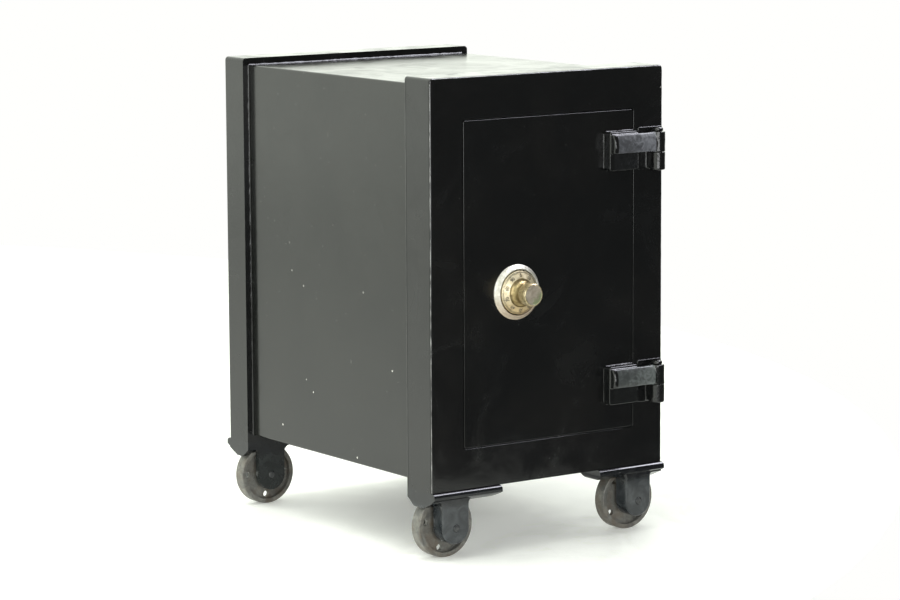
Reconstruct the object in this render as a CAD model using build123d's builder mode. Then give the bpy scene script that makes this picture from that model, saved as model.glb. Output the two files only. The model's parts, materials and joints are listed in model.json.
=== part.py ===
"""Antique fire-resistant floor safe: a steel box on four casters, with one combination-lock door.

Millimetres. +Z is up, the door faces -Y, and the origin is on the floor below the middle of the whole safe.
Distances called "depth" are measured backwards from the front face.
"""
from build123d import *
import math
import os

# ---------------------------------------------------------------- driving dimensions
WIDTH = 348.0             # across the angle-iron bands
BAND_HEIGHT = 493.7       # height of the bands
BODY_DEPTH = 456.3        # front face to the rear face of the rear band
GROUND_CLEARANCE = 84.5   # floor to the underside of the bands

FRONT_BAND = 50.8         # front angle iron, depth of its side leg
REAR_BAND = 43.9          # rear angle iron, width of both legs
LEG_THICKNESS = 8.8       # angle-iron thickness, and how far a band stands proud of the shell
FACE_THICKNESS = 9.0      # front face leg and door plate
SHELL_SHEET = 3.0
BACK_SHEET = 4.0
LINER_SHEET = 2.0
LINER_BACK = 395.0        # depth of the back of the inner liner

DOOR_WIDTH = 253.6
DOOR_HEIGHT = 392.1
DOOR_SHIFT_X = 1.1        # door centre, right of the band's centre
DOOR_SHIFT_Z = -1.3       # door centre, above the band's centre
DOOR_GAP = 1.0            # between the door plate and the front frame
PAN_SHEET = 2.0
STEP_GAP = 4.5            # between a door step and its jamb, so that the door can swing out
STEP_LEDGE_GAP = 1.0
STEP_INSETS = (3.5, 10.5, 17.5)
STEP_DEPTHS = (21.0, 42.0, 54.0)
COVER_SHEET = 3.0
JAMB_DEPTH = 60.0         # depth where the jamb meets the inner liner

HINGE_X = 156.3
HINGE_PROUD = 13.0        # hinge axis in front of the front face
KNUCKLE_RADIUS = 9.5
HINGE_PIN_RADIUS = 4.0
HINGE_LEAF = 3.0
STRAP_BLOCK = 12.0        # thickness of the strap's base block
STRAP_PROUD = 20.5        # crown of the raised strap in front of the face
HINGE_BASES = {"upper": 369.0, "lower": 81.0}   # underside of each strap block, above the bands' underside
HINGE_BLOCK_HEIGHT = 47.5

DIAL_X = -48.7
DIAL_RISE = 232.0         # dial centre above the bands' underside
DIAL_RING_RADIUS = 33.4
DIAL_RADIUS = 26.6
DIAL_RING_PROUD = 6.5
HUB_RADIUS = 17.5
HUB_PROUD = 10.5
KNOB_RADIUS = 13.75
KNOB_BASE = 20.5          # how far the back of the knob stands in front of the face
KNOB_PROUD = 35.3
SPINDLE_RADIUS = 4.0

WHEEL_RADIUS = 38.66      # caster wheel
WHEEL_TREAD = 17.0
WHEEL_INSET = 35.74       # axle from the side of the band
AXLE_DROP = 45.84         # axle below the underside of the band
AXLE_RADIUS = 4.75
BRACKET_LENGTH = 100.0
LEDGE_PROUD = 6.0         # how far a bracket's lip stands beyond the band
WHEEL_SLOT = 20.5
OUTER_LEGS = {"front": 20.0, "rear": 16.0}

RUNNING_CLEARANCE = 0.06

# ---------------------------------------------------------------- places worked out from them
HALF_WIDTH = WIDTH / 2
FRONT = (KNOB_PROUD - BODY_DEPTH - LEDGE_PROUD) / 2      # y of the front face
REAR = FRONT + BODY_DEPTH
BASE = GROUND_CLEARANCE                                  # z of the underside of the bands
TOP = BASE + BAND_HEIGHT
DOOR_X = (DOOR_SHIFT_X - DOOR_WIDTH / 2, DOOR_SHIFT_X + DOOR_WIDTH / 2)
DOOR_MIDDLE_Z = BASE + BAND_HEIGHT / 2 + DOOR_SHIFT_Z
DOOR_Z = (DOOR_MIDDLE_Z - DOOR_HEIGHT / 2, DOOR_MIDDLE_Z + DOOR_HEIGHT / 2)
HINGE_Y = FRONT - HINGE_PROUD
DIAL_Z = BASE + DIAL_RISE
SHELL_HALF = HALF_WIDTH - LEG_THICKNESS
SHELL_Z = (BASE + LEG_THICKNESS, TOP - LEG_THICKNESS)
BACK_FACE = REAR - LEG_THICKNESS                         # y of the back plate's rear face
LINER_INSET = STEP_INSETS[-1] - STEP_GAP                 # liner walls, in from the door's edge

pieces = {}


def keep(name, part):
    """Label a finished piece and store it under its node name."""
    part.label = name
    pieces[name] = part


def block(x, y, z, mode=Mode.ADD):
    """Add a box to the part being built, from its (low, high) pair along each axis."""
    with Locations(((x[0] + x[1]) / 2, (y[0] + y[1]) / 2, (z[0] + z[1]) / 2)):
        Box(x[1] - x[0], y[1] - y[0], z[1] - z[0], mode=mode)


def depth(start, end):
    """The y pair of a stretch given by its depths behind the front face."""
    return (FRONT + start, FRONT + end)


def rod_y(x, z, y, radius, mode=Mode.ADD):
    """Add a cylinder along Y to the part being built."""
    with Locations(Location((x, (y[0] + y[1]) / 2, z), (90, 0, 0))):
        Cylinder(radius, y[1] - y[0], mode=mode)


def rod_z(x, y, z, radius, mode=Mode.ADD):
    """Add a cylinder along Z to the part being built."""
    with Locations((x, y, (z[0] + z[1]) / 2)):
        Cylinder(radius, z[1] - z[0], mode=mode)


def door_outline(inset):
    """The x and z pairs of the door's rectangle, drawn in by inset on all four sides."""
    x = (DOOR_X[0] + inset, DOOR_X[1] - inset)
    z = (DOOR_Z[0] + inset, DOOR_Z[1] - inset)
    return x, z


def stepped_block(insets, ends, mode=Mode.ADD):
    """Add a stack of rectangles that all start behind the face plate, one for each door step."""
    for inset, end in zip(insets, ends):
        x, z = door_outline(inset)
        block(x, depth(FACE_THICKNESS, end), z, mode)


# ---------------------------------------------------------------- fasteners
HEAD_HEIGHT = 2.0


def domed_screws(points, head_y, head_radius, shank_radius, shank_length, toward):
    """Round-head screws along Y. toward is +1 when the heads face +Y and -1 when they face -Y."""
    with BuildPart() as screws:
        for x, z in points:
            head = sorted((head_y, head_y + toward * HEAD_HEIGHT))
            shank = sorted((head_y, head_y - toward * shank_length))
            rod_y(x, z, head, head_radius)
            rod_y(x, z, shank, shank_radius)
        outer = screws.edges().filter_by(GeomType.CIRCLE).group_by(Axis.Y)[-1 if toward > 0 else 0]
        fillet(outer, HEAD_HEIGHT * 0.6)
    return screws.part


# ---------------------------------------------------------------- body frames and sheets
EDGE_ROUND = 2.6
CORNER_ROUND = 4.5
OPENING_ROUND = 3.5       # corners of the doorway
OPENING_EDGE_ROUND = 0.7
DOOR_ROUND = 2.5          # corners of the door plate
DOOR_EDGE_ROUND = 0.8

JAMB_INSETS = [inset - STEP_GAP for inset in STEP_INSETS]
JAMB_ENDS = [end + STEP_LEDGE_GAP for end in STEP_DEPTHS[:-1]] + [JAMB_DEPTH]
JAMB_OUTER_INSETS = [inset - LINER_SHEET for inset in JAMB_INSETS]
JAMB_OUTER_ENDS = [end + LINER_SHEET for end in JAMB_ENDS[:-1]] + [JAMB_DEPTH]

HINGE_BOLT_RADIUS = 3.0
BOLT_HEAD_RADIUS = 5.0
BOLT_HEAD_ROOM = 0.5      # clearance round a bolt head in the filling
BOLT_HEAD_RECESS = 3.0    # depth of that recess
LEAF_X = (133.5, 172.0)
LEAF_DROP = 2.5           # the leaf and its knuckle reach this far below the strap block
LEAF_RISE = 50.5          # top of the leaf above the underside of the strap block
KNUCKLE_SPLIT = 20.0      # joint between the two knuckles above the underside of the strap block
KNUCKLE_TOP = 45.0
LEAF_BOLT_INSET = 8.0         # upper leaf bolt, in from the leaf's inner edge
LEAF_BOLT_DROP = 9.0          # upper leaf bolt, below the leaf's top
LEAF_BOLT_BITES = (7.0, 2.0)      # how far each of a leaf's two bolts reaches in front of the face
STRAP_BOLT_BITE = 8.0
STRAP_BOLT_X = (98.0, 116.0)


def leaf_bolt_points():
    """Two bolts for each leaf, one behind its knuckle and one near the top of its inner edge, as x and z."""
    points = []
    for rise in HINGE_BASES.values():
        points.append((HINGE_X, BASE + rise + KNUCKLE_SPLIT / 2))
        points.append((LEAF_X[0] + LEAF_BOLT_INSET, BASE + rise + LEAF_RISE - LEAF_BOLT_DROP))
    return points


def strap_bolt_points():
    """Two bolts for each strap block, as x and z."""
    return [(x, BASE + rise + HINGE_BLOCK_HEIGHT / 2) for rise in HINGE_BASES.values() for x in STRAP_BOLT_X]


def head_recesses(points):
    """Cut room for bolt heads behind the face out of the filling being built."""
    for x, z in points:
        span = depth(FACE_THICKNESS, FACE_THICKNESS + BOLT_HEAD_RECESS)
        rod_y(x, z, span, BOLT_HEAD_RADIUS + BOLT_HEAD_ROOM, Mode.SUBTRACT)


PLATE_DROP = 8.0          # thickness of a bracket's plate
RIB_DROP = 14.5           # thickness at its rib
BRACKET_SCREW_INSET = 82.0
BRACKET_SCREW_BACK = 12.0     # the outer of a bracket's two screws, behind the band's face
BRACKET_SCREW_RADIUS = 3.0
BRACKET_SCREW_BITE = 6.0


def corner_xy(side, end, inset, back):
    """Place at a caster corner: inset from the band's side and back from its front or rear face."""
    x = side * (HALF_WIDTH - inset)
    y = FRONT + back if end == "front" else REAR - back
    return x, y


def bracket_screw_places(side, end):
    """The two screws of a caster bracket, as x, y and the z of the screw's mouth."""
    inner = OUTER_LEGS[end] + WHEEL_SLOT + 1
    return [
        (*corner_xy(side, end, BRACKET_SCREW_INSET, BRACKET_SCREW_BACK), BASE - RIB_DROP),
        (*corner_xy(side, end, BRACKET_SCREW_INSET, inner), BASE - PLATE_DROP),
    ]


CORNERS = [(side, end) for end in ("front", "rear") for side in (-1, 1)]


def bracket_screw_holes(end_wanted):
    """Cut the blind screw holes of the two brackets at one end out of the band being built."""
    for side, end in CORNERS:
        if end == end_wanted:
            for x, y, _ in bracket_screw_places(side, end):
                rod_z(x, y, (BASE - 1, BASE + BRACKET_SCREW_BITE), BRACKET_SCREW_RADIUS, Mode.SUBTRACT)


def make_front_frame():
    opening_x, opening_z = door_outline(-DOOR_GAP)
    with BuildPart() as front_frame:
        block((-HALF_WIDTH, HALF_WIDTH), depth(0, FRONT_BAND), (BASE, TOP))
        fillet(front_frame.edges().filter_by(Axis.Y).group_by(Axis.Z)[-1], CORNER_ROUND)
        front_face_edges = front_frame.faces().sort_by(Axis.Y)[0].edges()
        fillet(front_face_edges.sort_by(Axis.Z)[1:], EDGE_ROUND)
        block((-SHELL_HALF, SHELL_HALF), depth(FACE_THICKNESS, FRONT_BAND), SHELL_Z, Mode.SUBTRACT)
        with BuildSketch(Plane.XZ.offset(1 - FRONT)):
            with Locations((sum(opening_x) / 2, sum(opening_z) / 2)):
                RectangleRounded(opening_x[1] - opening_x[0], opening_z[1] - opening_z[0], OPENING_ROUND)
        extrude(amount=-1 - FACE_THICKNESS, mode=Mode.SUBTRACT)
        rim = front_frame.faces().sort_by(Axis.Y)[0].inner_wires()[0]
        fillet(rim.edges(), OPENING_EDGE_ROUND)
        for x, z in leaf_bolt_points():
            rod_y(x, z, depth(-1, FACE_THICKNESS), HINGE_BOLT_RADIUS, Mode.SUBTRACT)
        bracket_screw_holes("front")
    keep("front_frame", front_frame.part)


def back_screw_points():
    """Screws along the middle of the rear frame's back leg."""
    half = HALF_WIDTH - REAR_BAND / 2
    low, high = BASE + REAR_BAND / 2, TOP - REAR_BAND / 2
    middle = (low + high) / 2
    quarter = (high - low) / 4
    points = [(x, z) for x in (-half, half) for z in (low, middle - quarter, middle, middle + quarter, high)]
    return points + [(0, low), (0, high)]


BACK_SCREW_RADIUS = 2.5
BACK_SCREW_HEAD = 4.5


def make_rear_frame():
    window = HALF_WIDTH - REAR_BAND
    with BuildPart() as rear_frame:
        block((-HALF_WIDTH, HALF_WIDTH), (REAR - REAR_BAND, REAR), (BASE, TOP))
        fillet(rear_frame.edges().filter_by(Axis.Y).group_by(Axis.Z)[-1], CORNER_ROUND)
        rear_face_edges = rear_frame.faces().sort_by(Axis.Y)[-1].edges()
        fillet(rear_face_edges.sort_by(Axis.Z)[1:], EDGE_ROUND)
        block((-SHELL_HALF, SHELL_HALF), (REAR - REAR_BAND, BACK_FACE), SHELL_Z, Mode.SUBTRACT)
        block((-window, window), (BACK_FACE, REAR + 1), (BASE + REAR_BAND, TOP - REAR_BAND), Mode.SUBTRACT)
        for x, z in back_screw_points():
            rod_y(x, z, (BACK_FACE, REAR + 1), BACK_SCREW_RADIUS, Mode.SUBTRACT)
        bracket_screw_holes("rear")
    keep("rear_frame", rear_frame.part)


def make_outer_shell():
    inner = SHELL_HALF - SHELL_SHEET
    with BuildPart() as outer_shell:
        block((-SHELL_HALF, SHELL_HALF), (FRONT + FACE_THICKNESS, BACK_FACE), SHELL_Z)
        fillet(outer_shell.edges().filter_by(Axis.Y), EDGE_ROUND)
        inner_z = (SHELL_Z[0] + SHELL_SHEET, SHELL_Z[1] - SHELL_SHEET)
        block((-inner, inner), (FRONT, BACK_FACE), inner_z, Mode.SUBTRACT)
    keep("outer_shell", outer_shell.part)


def make_back_plate():
    inner = SHELL_HALF - SHELL_SHEET
    inner_z = (SHELL_Z[0] + SHELL_SHEET, SHELL_Z[1] - SHELL_SHEET)
    with BuildPart() as back_plate:
        block((-inner, inner), (BACK_FACE - BACK_SHEET, BACK_FACE), inner_z)
        for x, z in back_screw_points():
            rod_y(x, z, (BACK_FACE - BACK_SHEET, BACK_FACE), BACK_SCREW_RADIUS, Mode.SUBTRACT)
    keep("back_plate", back_plate.part)
    shank = LEG_THICKNESS + BACK_SHEET
    screws = domed_screws(back_screw_points(), REAR, BACK_SCREW_HEAD, BACK_SCREW_RADIUS, shank, 1)
    keep("back_plate_screws", screws)


# ---------------------------------------------------------------- lock places shared by body and door
BOLT_DEPTH = (28.0, 38.0)
BOLT_HALF_HEIGHT = 14.0
BOLT_X = (DOOR_X[0] + STEP_INSETS[1] + 0.5, DIAL_X - 25.0)     # drawn back, its nose just inside the pan
BOLT_SLOT_GAP = 0.8
BOLT_SLOT_DEPTH = (BOLT_DEPTH[0] - BOLT_SLOT_GAP, BOLT_DEPTH[1] + BOLT_SLOT_GAP)
BOLT_SLOT_Z = (DIAL_Z - BOLT_HALF_HEIGHT - BOLT_SLOT_GAP, DIAL_Z + BOLT_HALF_HEIGHT + BOLT_SLOT_GAP)

JAMB_STEP_X = DOOR_X[0] + JAMB_INSETS[1]       # left jamb face that the bolt passes
STRIKE_WIDTH = 14.5
STRIKE_HALF_HEIGHT = 28.0
STRIKE_X = (JAMB_STEP_X - LINER_SHEET - STRIKE_WIDTH, JAMB_STEP_X - LINER_SHEET)
STRIKE_DEPTH = (JAMB_OUTER_ENDS[0], JAMB_OUTER_ENDS[1])
STRIKE_Z = (DIAL_Z - STRIKE_HALF_HEIGHT, DIAL_Z + STRIKE_HALF_HEIGHT)
STRIKE_WALL = 3.0


def make_body_fill():
    inner = SHELL_HALF - SHELL_SHEET
    inner_z = (SHELL_Z[0] + SHELL_SHEET, SHELL_Z[1] - SHELL_SHEET)
    liner_x, liner_z = door_outline(LINER_INSET - LINER_SHEET)
    with BuildPart() as body_fill:
        block((-inner, inner), (FRONT + FACE_THICKNESS, BACK_FACE - BACK_SHEET), inner_z)
        stepped_block(JAMB_OUTER_INSETS, JAMB_OUTER_ENDS, Mode.SUBTRACT)
        block(liner_x, depth(JAMB_DEPTH - 1, LINER_BACK), liner_z, Mode.SUBTRACT)
        block(STRIKE_X, depth(*STRIKE_DEPTH), STRIKE_Z, Mode.SUBTRACT)
        head_recesses(leaf_bolt_points())
    keep("body_fill", body_fill.part)


def make_door_jamb():
    with BuildPart() as door_jamb:
        stepped_block(JAMB_OUTER_INSETS, JAMB_OUTER_ENDS)
        stepped_block(JAMB_INSETS, JAMB_ENDS, Mode.SUBTRACT)
        slot_x = (JAMB_STEP_X - LINER_SHEET, JAMB_STEP_X)
        block(slot_x, depth(*BOLT_SLOT_DEPTH), BOLT_SLOT_Z, Mode.SUBTRACT)
    keep("door_jamb", door_jamb.part)


def make_strike_block():
    with BuildPart() as strike_block:
        block(STRIKE_X, depth(*STRIKE_DEPTH), STRIKE_Z)
        pocket_x = (STRIKE_X[0] + STRIKE_WALL, STRIKE_X[1])
        block(pocket_x, depth(*BOLT_SLOT_DEPTH), BOLT_SLOT_Z, Mode.SUBTRACT)
    keep("strike_block", strike_block.part)


SUPPORT_LEG = 15.0
SHELF_DEPTH = (75.0, 388.0)
SHELF_SHEET = 3.0
SHELF_SIDE_GAP = 0.5
SHELF_EDGE_ROUND = 1.2
SHELF_Z = DOOR_MIDDLE_Z


def make_inner_liner():
    outer_x, outer_z = door_outline(LINER_INSET - LINER_SHEET)
    inner_x, inner_z = door_outline(LINER_INSET)
    with BuildPart() as inner_liner:
        block(outer_x, depth(JAMB_DEPTH, LINER_BACK), outer_z)
        block(inner_x, depth(JAMB_DEPTH, LINER_BACK - LINER_SHEET), inner_z, Mode.SUBTRACT)
    keep("inner_liner", inner_liner.part)


def make_shelf():
    x, _ = door_outline(LINER_INSET)
    with BuildPart() as shelf:
        shelf_x = (x[0] + SHELF_SIDE_GAP, x[1] - SHELF_SIDE_GAP)
        block(shelf_x, depth(*SHELF_DEPTH), (SHELF_Z, SHELF_Z + SHELF_SHEET))
        front_edges = shelf.edges().filter_by(Axis.X).group_by(Axis.Y)[0]
        fillet(front_edges, SHELF_EDGE_ROUND)
    keep("shelf", shelf.part)
    with BuildPart() as shelf_supports:
        for wall, inward in ((x[0], 1), (x[1], -1)):
            standing = sorted((wall, wall + inward * LINER_SHEET))
            lying = sorted((wall, wall + inward * SUPPORT_LEG))
            block(standing, depth(*SHELF_DEPTH), (SHELF_Z - SUPPORT_LEG, SHELF_Z))
            block(lying, depth(*SHELF_DEPTH), (SHELF_Z - LINER_SHEET, SHELF_Z))
    keep("shelf_supports", shelf_supports.part)


# ---------------------------------------------------------------- hinges
PIN_HEAD_RADIUS = 7.0
PIN_HEAD_HEIGHT = 5.0
PIN_HEAD_ROUND = 3.0
STRAP_BLOCK_X = (83.6, DOOR_X[1] - 0.5)
STRAP_X = (85.0, HINGE_X)
STRAP_RISE = (21.5, 44.5)     # underside and top of the raised strap above the block's underside
STRAP_CROWN_RISE = 31.0
STRAP_EDGES_PROUD = (19.0, 16.5)  # the strap's front at its underside and at its top
STRAP_BACK = 8.0              # how far the strap's back stands in front of the face
STRAP_END_ROUND = 3.5
STRAP_EDGE_ROUND = 1.2
BLOCK_CORNER_ROUND = 3.0
BLOCK_EDGE_ROUND = 1.2
KNUCKLE_GAP = 0.3             # between the two knuckles, and under the pin's head
LEAF_WEB_HALF = 9.5
LEAF_FOOT_ROUND = 2.0         # lower end of the leaf's knuckle
LEAF_CORNER_ROUND = 3.0
LEAF_EDGE_ROUND = 1.0


def make_hinge_strap(name, rise):
    low = BASE + rise
    with BuildPart() as strap:
        block(STRAP_BLOCK_X, (FRONT - STRAP_BLOCK, FRONT), (low, low + HINGE_BLOCK_HEIGHT))
        fillet(strap.edges().filter_by(Axis.Y), BLOCK_CORNER_ROUND)
        fillet(strap.faces().sort_by(Axis.Y)[0].edges(), BLOCK_EDGE_ROUND)
        with BuildSketch(Plane(origin=(STRAP_X[0], FRONT, low), x_dir=(0, -1, 0), z_dir=(-1, 0, 0))):
            with BuildLine():
                lower_front = (STRAP_EDGES_PROUD[0], STRAP_RISE[0])
                upper_front = (STRAP_EDGES_PROUD[1], STRAP_RISE[1])
                ThreePointArc(lower_front, (STRAP_PROUD, STRAP_CROWN_RISE), upper_front)
                Polyline(upper_front, (STRAP_BACK, STRAP_RISE[1]), (STRAP_BACK, STRAP_RISE[0]), lower_front)
            make_face()
        extrude(amount=STRAP_X[0] - STRAP_X[1])
        strap_front = FRONT - STRAP_EDGES_PROUD[1] + 0.1
        front_edges = [e for e in strap.edges() if e.center().Y < strap_front]
        fillet([e for e in front_edges if abs(e.center().X - STRAP_X[0]) < 0.1], STRAP_END_ROUND)
        long_edges = [e for e in strap.edges().filter_by(Axis.X) if e.center().Y < strap_front]
        fillet(long_edges, STRAP_EDGE_ROUND)
        rod_z(HINGE_X, HINGE_Y, (low + KNUCKLE_SPLIT + KNUCKLE_GAP, low + KNUCKLE_TOP), KNUCKLE_RADIUS)
        bore_radius = HINGE_PIN_RADIUS + RUNNING_CLEARANCE
        rod_z(HINGE_X, HINGE_Y, (low, low + KNUCKLE_TOP), bore_radius, Mode.SUBTRACT)
        for x, z in strap_bolt_points():
            rod_y(x, z, (FRONT - STRAP_BOLT_BITE, FRONT), HINGE_BOLT_RADIUS, Mode.SUBTRACT)
    keep(f"{name}_hinge_strap", strap.part)


def make_hinge_leaf(name, rise):
    low = BASE + rise
    web_x = (HINGE_X - LEAF_WEB_HALF, HINGE_X + LEAF_WEB_HALF)
    with BuildPart() as leaf:
        rod_z(HINGE_X, HINGE_Y, (low - LEAF_DROP, low + KNUCKLE_SPLIT), KNUCKLE_RADIUS)
        fillet(leaf.edges().group_by(Axis.Z)[0], LEAF_FOOT_ROUND)
        block(LEAF_X, (FRONT - HINGE_LEAF, FRONT), (low - LEAF_DROP, low + LEAF_RISE))
        fillet(leaf.edges(Select.LAST).filter_by(Axis.Y), LEAF_CORNER_ROUND)
        fillet(leaf.faces().filter_by(Axis.Y).sort_by(Axis.Y)[0].edges(), LEAF_EDGE_ROUND)
        block(web_x, (HINGE_Y, FRONT - HINGE_LEAF), (low, low + KNUCKLE_SPLIT))
        rod_z(HINGE_X, HINGE_Y, (low - LEAF_DROP, low + KNUCKLE_SPLIT), HINGE_PIN_RADIUS, Mode.SUBTRACT)
        for (x, z), bite in zip(leaf_bolt_points(), LEAF_BOLT_BITES * len(HINGE_BASES)):
            if low < z < low + LEAF_RISE:
                rod_y(x, z, depth(-bite, 0), HINGE_BOLT_RADIUS, Mode.SUBTRACT)
    keep(f"{name}_hinge_leaf", leaf.part)


def make_hinge_pin(name, rise):
    low = BASE + rise
    head_z = low + KNUCKLE_TOP + KNUCKLE_GAP
    with BuildPart() as pin:
        rod_z(HINGE_X, HINGE_Y, (low - LEAF_DROP, head_z), HINGE_PIN_RADIUS)
        rod_z(HINGE_X, HINGE_Y, (head_z, head_z + PIN_HEAD_HEIGHT), PIN_HEAD_RADIUS)
        fillet(pin.edges().filter_by(GeomType.CIRCLE).group_by(Axis.Z)[-1], PIN_HEAD_ROUND)
    keep(f"{name}_hinge_pin", pin.part)


def hinge_bolts(points, bites):
    """Bolts from behind the face plate, with their heads on its back."""
    with BuildPart() as bolts:
        for (x, z), bite in zip(points, bites):
            rod_y(x, z, depth(-bite, FACE_THICKNESS), HINGE_BOLT_RADIUS)
            rod_y(x, z, depth(FACE_THICKNESS, FACE_THICKNESS + HEAD_HEIGHT), BOLT_HEAD_RADIUS)
    return bolts.part


# ---------------------------------------------------------------- casters
AXLE_Z = BASE - AXLE_DROP
LEG_HALF = 19.4
LEG_EDGE_ROUND = 2.5
LEG_RIM_TOP = 20.0        # the leg's edge is rounded below this drop
LUG_DROP = 19.8


def corner_block(side, end, inset, back, z, mode=Mode.ADD):
    """Add a box at a caster corner, from pairs measured inwards from the band's side and face."""
    xs, ys = zip(corner_xy(side, end, inset[0], back[0]), corner_xy(side, end, inset[1], back[1]))
    block(sorted(xs), sorted(ys), z, mode)


def leg_plane(side, end, back):
    """Plane of a caster leg's outline: x runs inwards from the band's side, y runs up from its underside."""
    x, y = corner_xy(side, end, 0, back)
    return Plane(origin=(x, y, BASE), x_dir=(-side, 0, 0), z_dir=(0, side, 0))


PLATE_END_ROUND = 8.0
LIP_TOP_ROUND = 4.5
LIP_FACE = -7.5           # underside of the lip's upright face
LIP_HEEL = (-2.5, -9.5)  # lower corner of the lip, as depth and height below the band
RIB_FRONT = 8.4           # depth where the rib reaches its full thickness
RIB_REAR_STEPS = (22.0, 16.0)  # the rib ends between these distances from the plate's back edge
ROOT_HALF = 9.0           # half width that a leg gains where it meets the plate
ROOT_DROP = 9.5
LEG_ROOT_ROUND = 8.5
SLOT_INSET = (5.5, 66.5)
SLOT_ROOF = 5.0           # thickness left above the wheel
LUG_LENGTH = 14.0
LUG_CORNERS = (18.0, 13.5)     # the lug is at its deepest between these distances from its front and back
LUG_SHOULDERS = (12.0, 10.3)   # drop at the lug's front and back faces


def section_plane(side, end):
    """Plane across a caster bracket at the band's side: x is depth behind the band's face, y is height."""
    x, y = corner_xy(side, end, 0, 0)
    backwards = 1 if end == "front" else -1
    return Plane(origin=(x, y, BASE), x_dir=(0, backwards, 0), z_dir=(backwards, 0, 0))


def back_edge(end):
    """How far a bracket's plate reaches inwards from the front or rear face."""
    return FRONT_BAND if end == "front" else REAR_BAND


def plate_section(side, end):
    """Section of a bracket's plate, with its rounded lip in front and its rib."""
    reach = back_edge(end)
    arc_middle = LIP_TOP_ROUND * (1 - math.cos(math.pi / 4))
    with BuildSketch(section_plane(side, end)) as section:
        with BuildLine():
            lip_top = (LIP_TOP_ROUND - LEDGE_PROUD, 0)
            lip_front = (-LEDGE_PROUD, -LIP_TOP_ROUND)
            ThreePointArc(lip_top, (arc_middle - LEDGE_PROUD, -arc_middle), lip_front)
            Polyline(lip_front, (-LEDGE_PROUD, LIP_FACE), LIP_HEEL, (RIB_FRONT, -RIB_DROP),
                     (reach - RIB_REAR_STEPS[0], -RIB_DROP), (reach - RIB_REAR_STEPS[1], -PLATE_DROP),
                     (reach, -PLATE_DROP), (reach, 0), lip_top)
        make_face()
    return section.sketch


def plate_end_outline(side, end):
    """Outline of a bracket's plate seen from the front, with its lower inner corner rounded."""
    with BuildSketch(leg_plane(side, end, 0)) as outline:
        with Locations((BRACKET_LENGTH / 2, 0)):
            Rectangle(BRACKET_LENGTH, 2 * RIB_DROP)
        inner_corners = outline.vertices().group_by(Axis.X)[-1]
        fillet(inner_corners.sort_by(Axis.Y)[0], PLATE_END_ROUND)
    return outline.sketch


def lug_section(side, end):
    """Section of the deeper lug at a bracket's outer end."""
    reach = back_edge(end)
    front_shoulder, back_shoulder = LUG_SHOULDERS
    back_corner = (reach - LUG_CORNERS[1] / 2, -(LUG_DROP + back_shoulder) / 2)
    with BuildSketch(section_plane(side, end)) as section:
        with BuildLine():
            Polyline((0, 0), (0, -front_shoulder), (LUG_CORNERS[0], -LUG_DROP),
                     (reach - LUG_CORNERS[1], -LUG_DROP), back_corner,
                     (reach, -back_shoulder), (reach, 0), close=True)
        make_face()
    return section.sketch


def leg_outline(side, end):
    """Outline of the two legs beside a wheel, widened where they meet the plate."""
    with BuildSketch(leg_plane(side, end, 0)) as outline:
        with Locations((WHEEL_INSET, -AXLE_DROP)):
            Circle(LEG_HALF)
        with Locations((WHEEL_INSET, -AXLE_DROP / 2 - PLATE_DROP / 2)):
            Rectangle(2 * LEG_HALF, AXLE_DROP - PLATE_DROP)
        with Locations((WHEEL_INSET, 1 - ROOT_DROP)):
            Rectangle(2 * (LEG_HALF + ROOT_HALF), 2)
        at_root = outline.vertices().filter_by(lambda v: abs(v.Y + ROOT_DROP) < 0.01)
        fillet(at_root.filter_by(lambda v: abs(abs(v.X - WHEEL_INSET) - LEG_HALF) < 0.01), LEG_ROOT_ROUND)
    return outline.sketch


def make_caster_bracket(name, side, end):
    slot = (OUTER_LEGS[end], OUTER_LEGS[end] + WHEEL_SLOT)
    reach = back_edge(end)
    backwards = 1 if end == "front" else -1
    axle_x, _ = corner_xy(side, end, WHEEL_INSET, 0)
    with BuildPart() as bracket:
        extrude(plate_section(side, end), amount=BRACKET_LENGTH, dir=(-side, 0, 0))
        extrude(plate_end_outline(side, end), amount=2 * reach, both=True, mode=Mode.INTERSECT)
        extrude(leg_outline(side, end), amount=reach, dir=(0, backwards, 0))
        leg_face_y = corner_xy(side, end, 0, 0)[1]
        in_leg_face = [e for e in bracket.edges() if abs(e.center().Y - leg_face_y) < 0.01]
        fillet([e for e in in_leg_face if e.center().Z < BASE - LEG_RIM_TOP], LEG_EDGE_ROUND)
        extrude(lug_section(side, end), amount=LUG_LENGTH, dir=(-side, 0, 0))
        corner_block(side, end, SLOT_INSET, slot, (BASE - 2 * AXLE_DROP, BASE - SLOT_ROOF), Mode.SUBTRACT)
        span = sorted(corner_xy(side, end, 0, back)[1] for back in (-1, reach + 1))
        rod_y(axle_x, AXLE_Z, span, AXLE_RADIUS + RUNNING_CLEARANCE / 2, Mode.SUBTRACT)
        for x, y, mouth in bracket_screw_places(side, end):
            rod_z(x, y, (mouth - 1, BASE + 1), BRACKET_SCREW_RADIUS, Mode.SUBTRACT)
    keep(name, bracket.part)


AXLE_OVERHANG = 1.2
AXLE_END_ROUND = 1.08


def make_caster_axle(name, side, end):
    x, _ = corner_xy(side, end, WHEEL_INSET, 0)
    ends = (-AXLE_OVERHANG, back_edge(end) + AXLE_OVERHANG)
    span = sorted(corner_xy(side, end, 0, back)[1] for back in ends)
    with BuildPart() as axle:
        rod_y(x, AXLE_Z, span, AXLE_RADIUS)
        fillet(axle.edges().filter_by(GeomType.CIRCLE), AXLE_END_ROUND)
    keep(name, axle.part)


RIM_ROUND = 1.2
WEB_RADII = (13.0, 33.0)
WEB_RECESS = 6.0
HUB_EXTRA = 1.2           # how far the hub stands out on each side of the tread
WEB_HOLE_RADIUS = 4.0
WEB_HOLE_CIRCLE = 27.5
WEB_HOLES = 4
WHEEL_TURNS = {("front", -1): 168.0, ("front", 1): 217.0, ("rear", -1): 180.0, ("rear", 1): 30.0}


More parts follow.
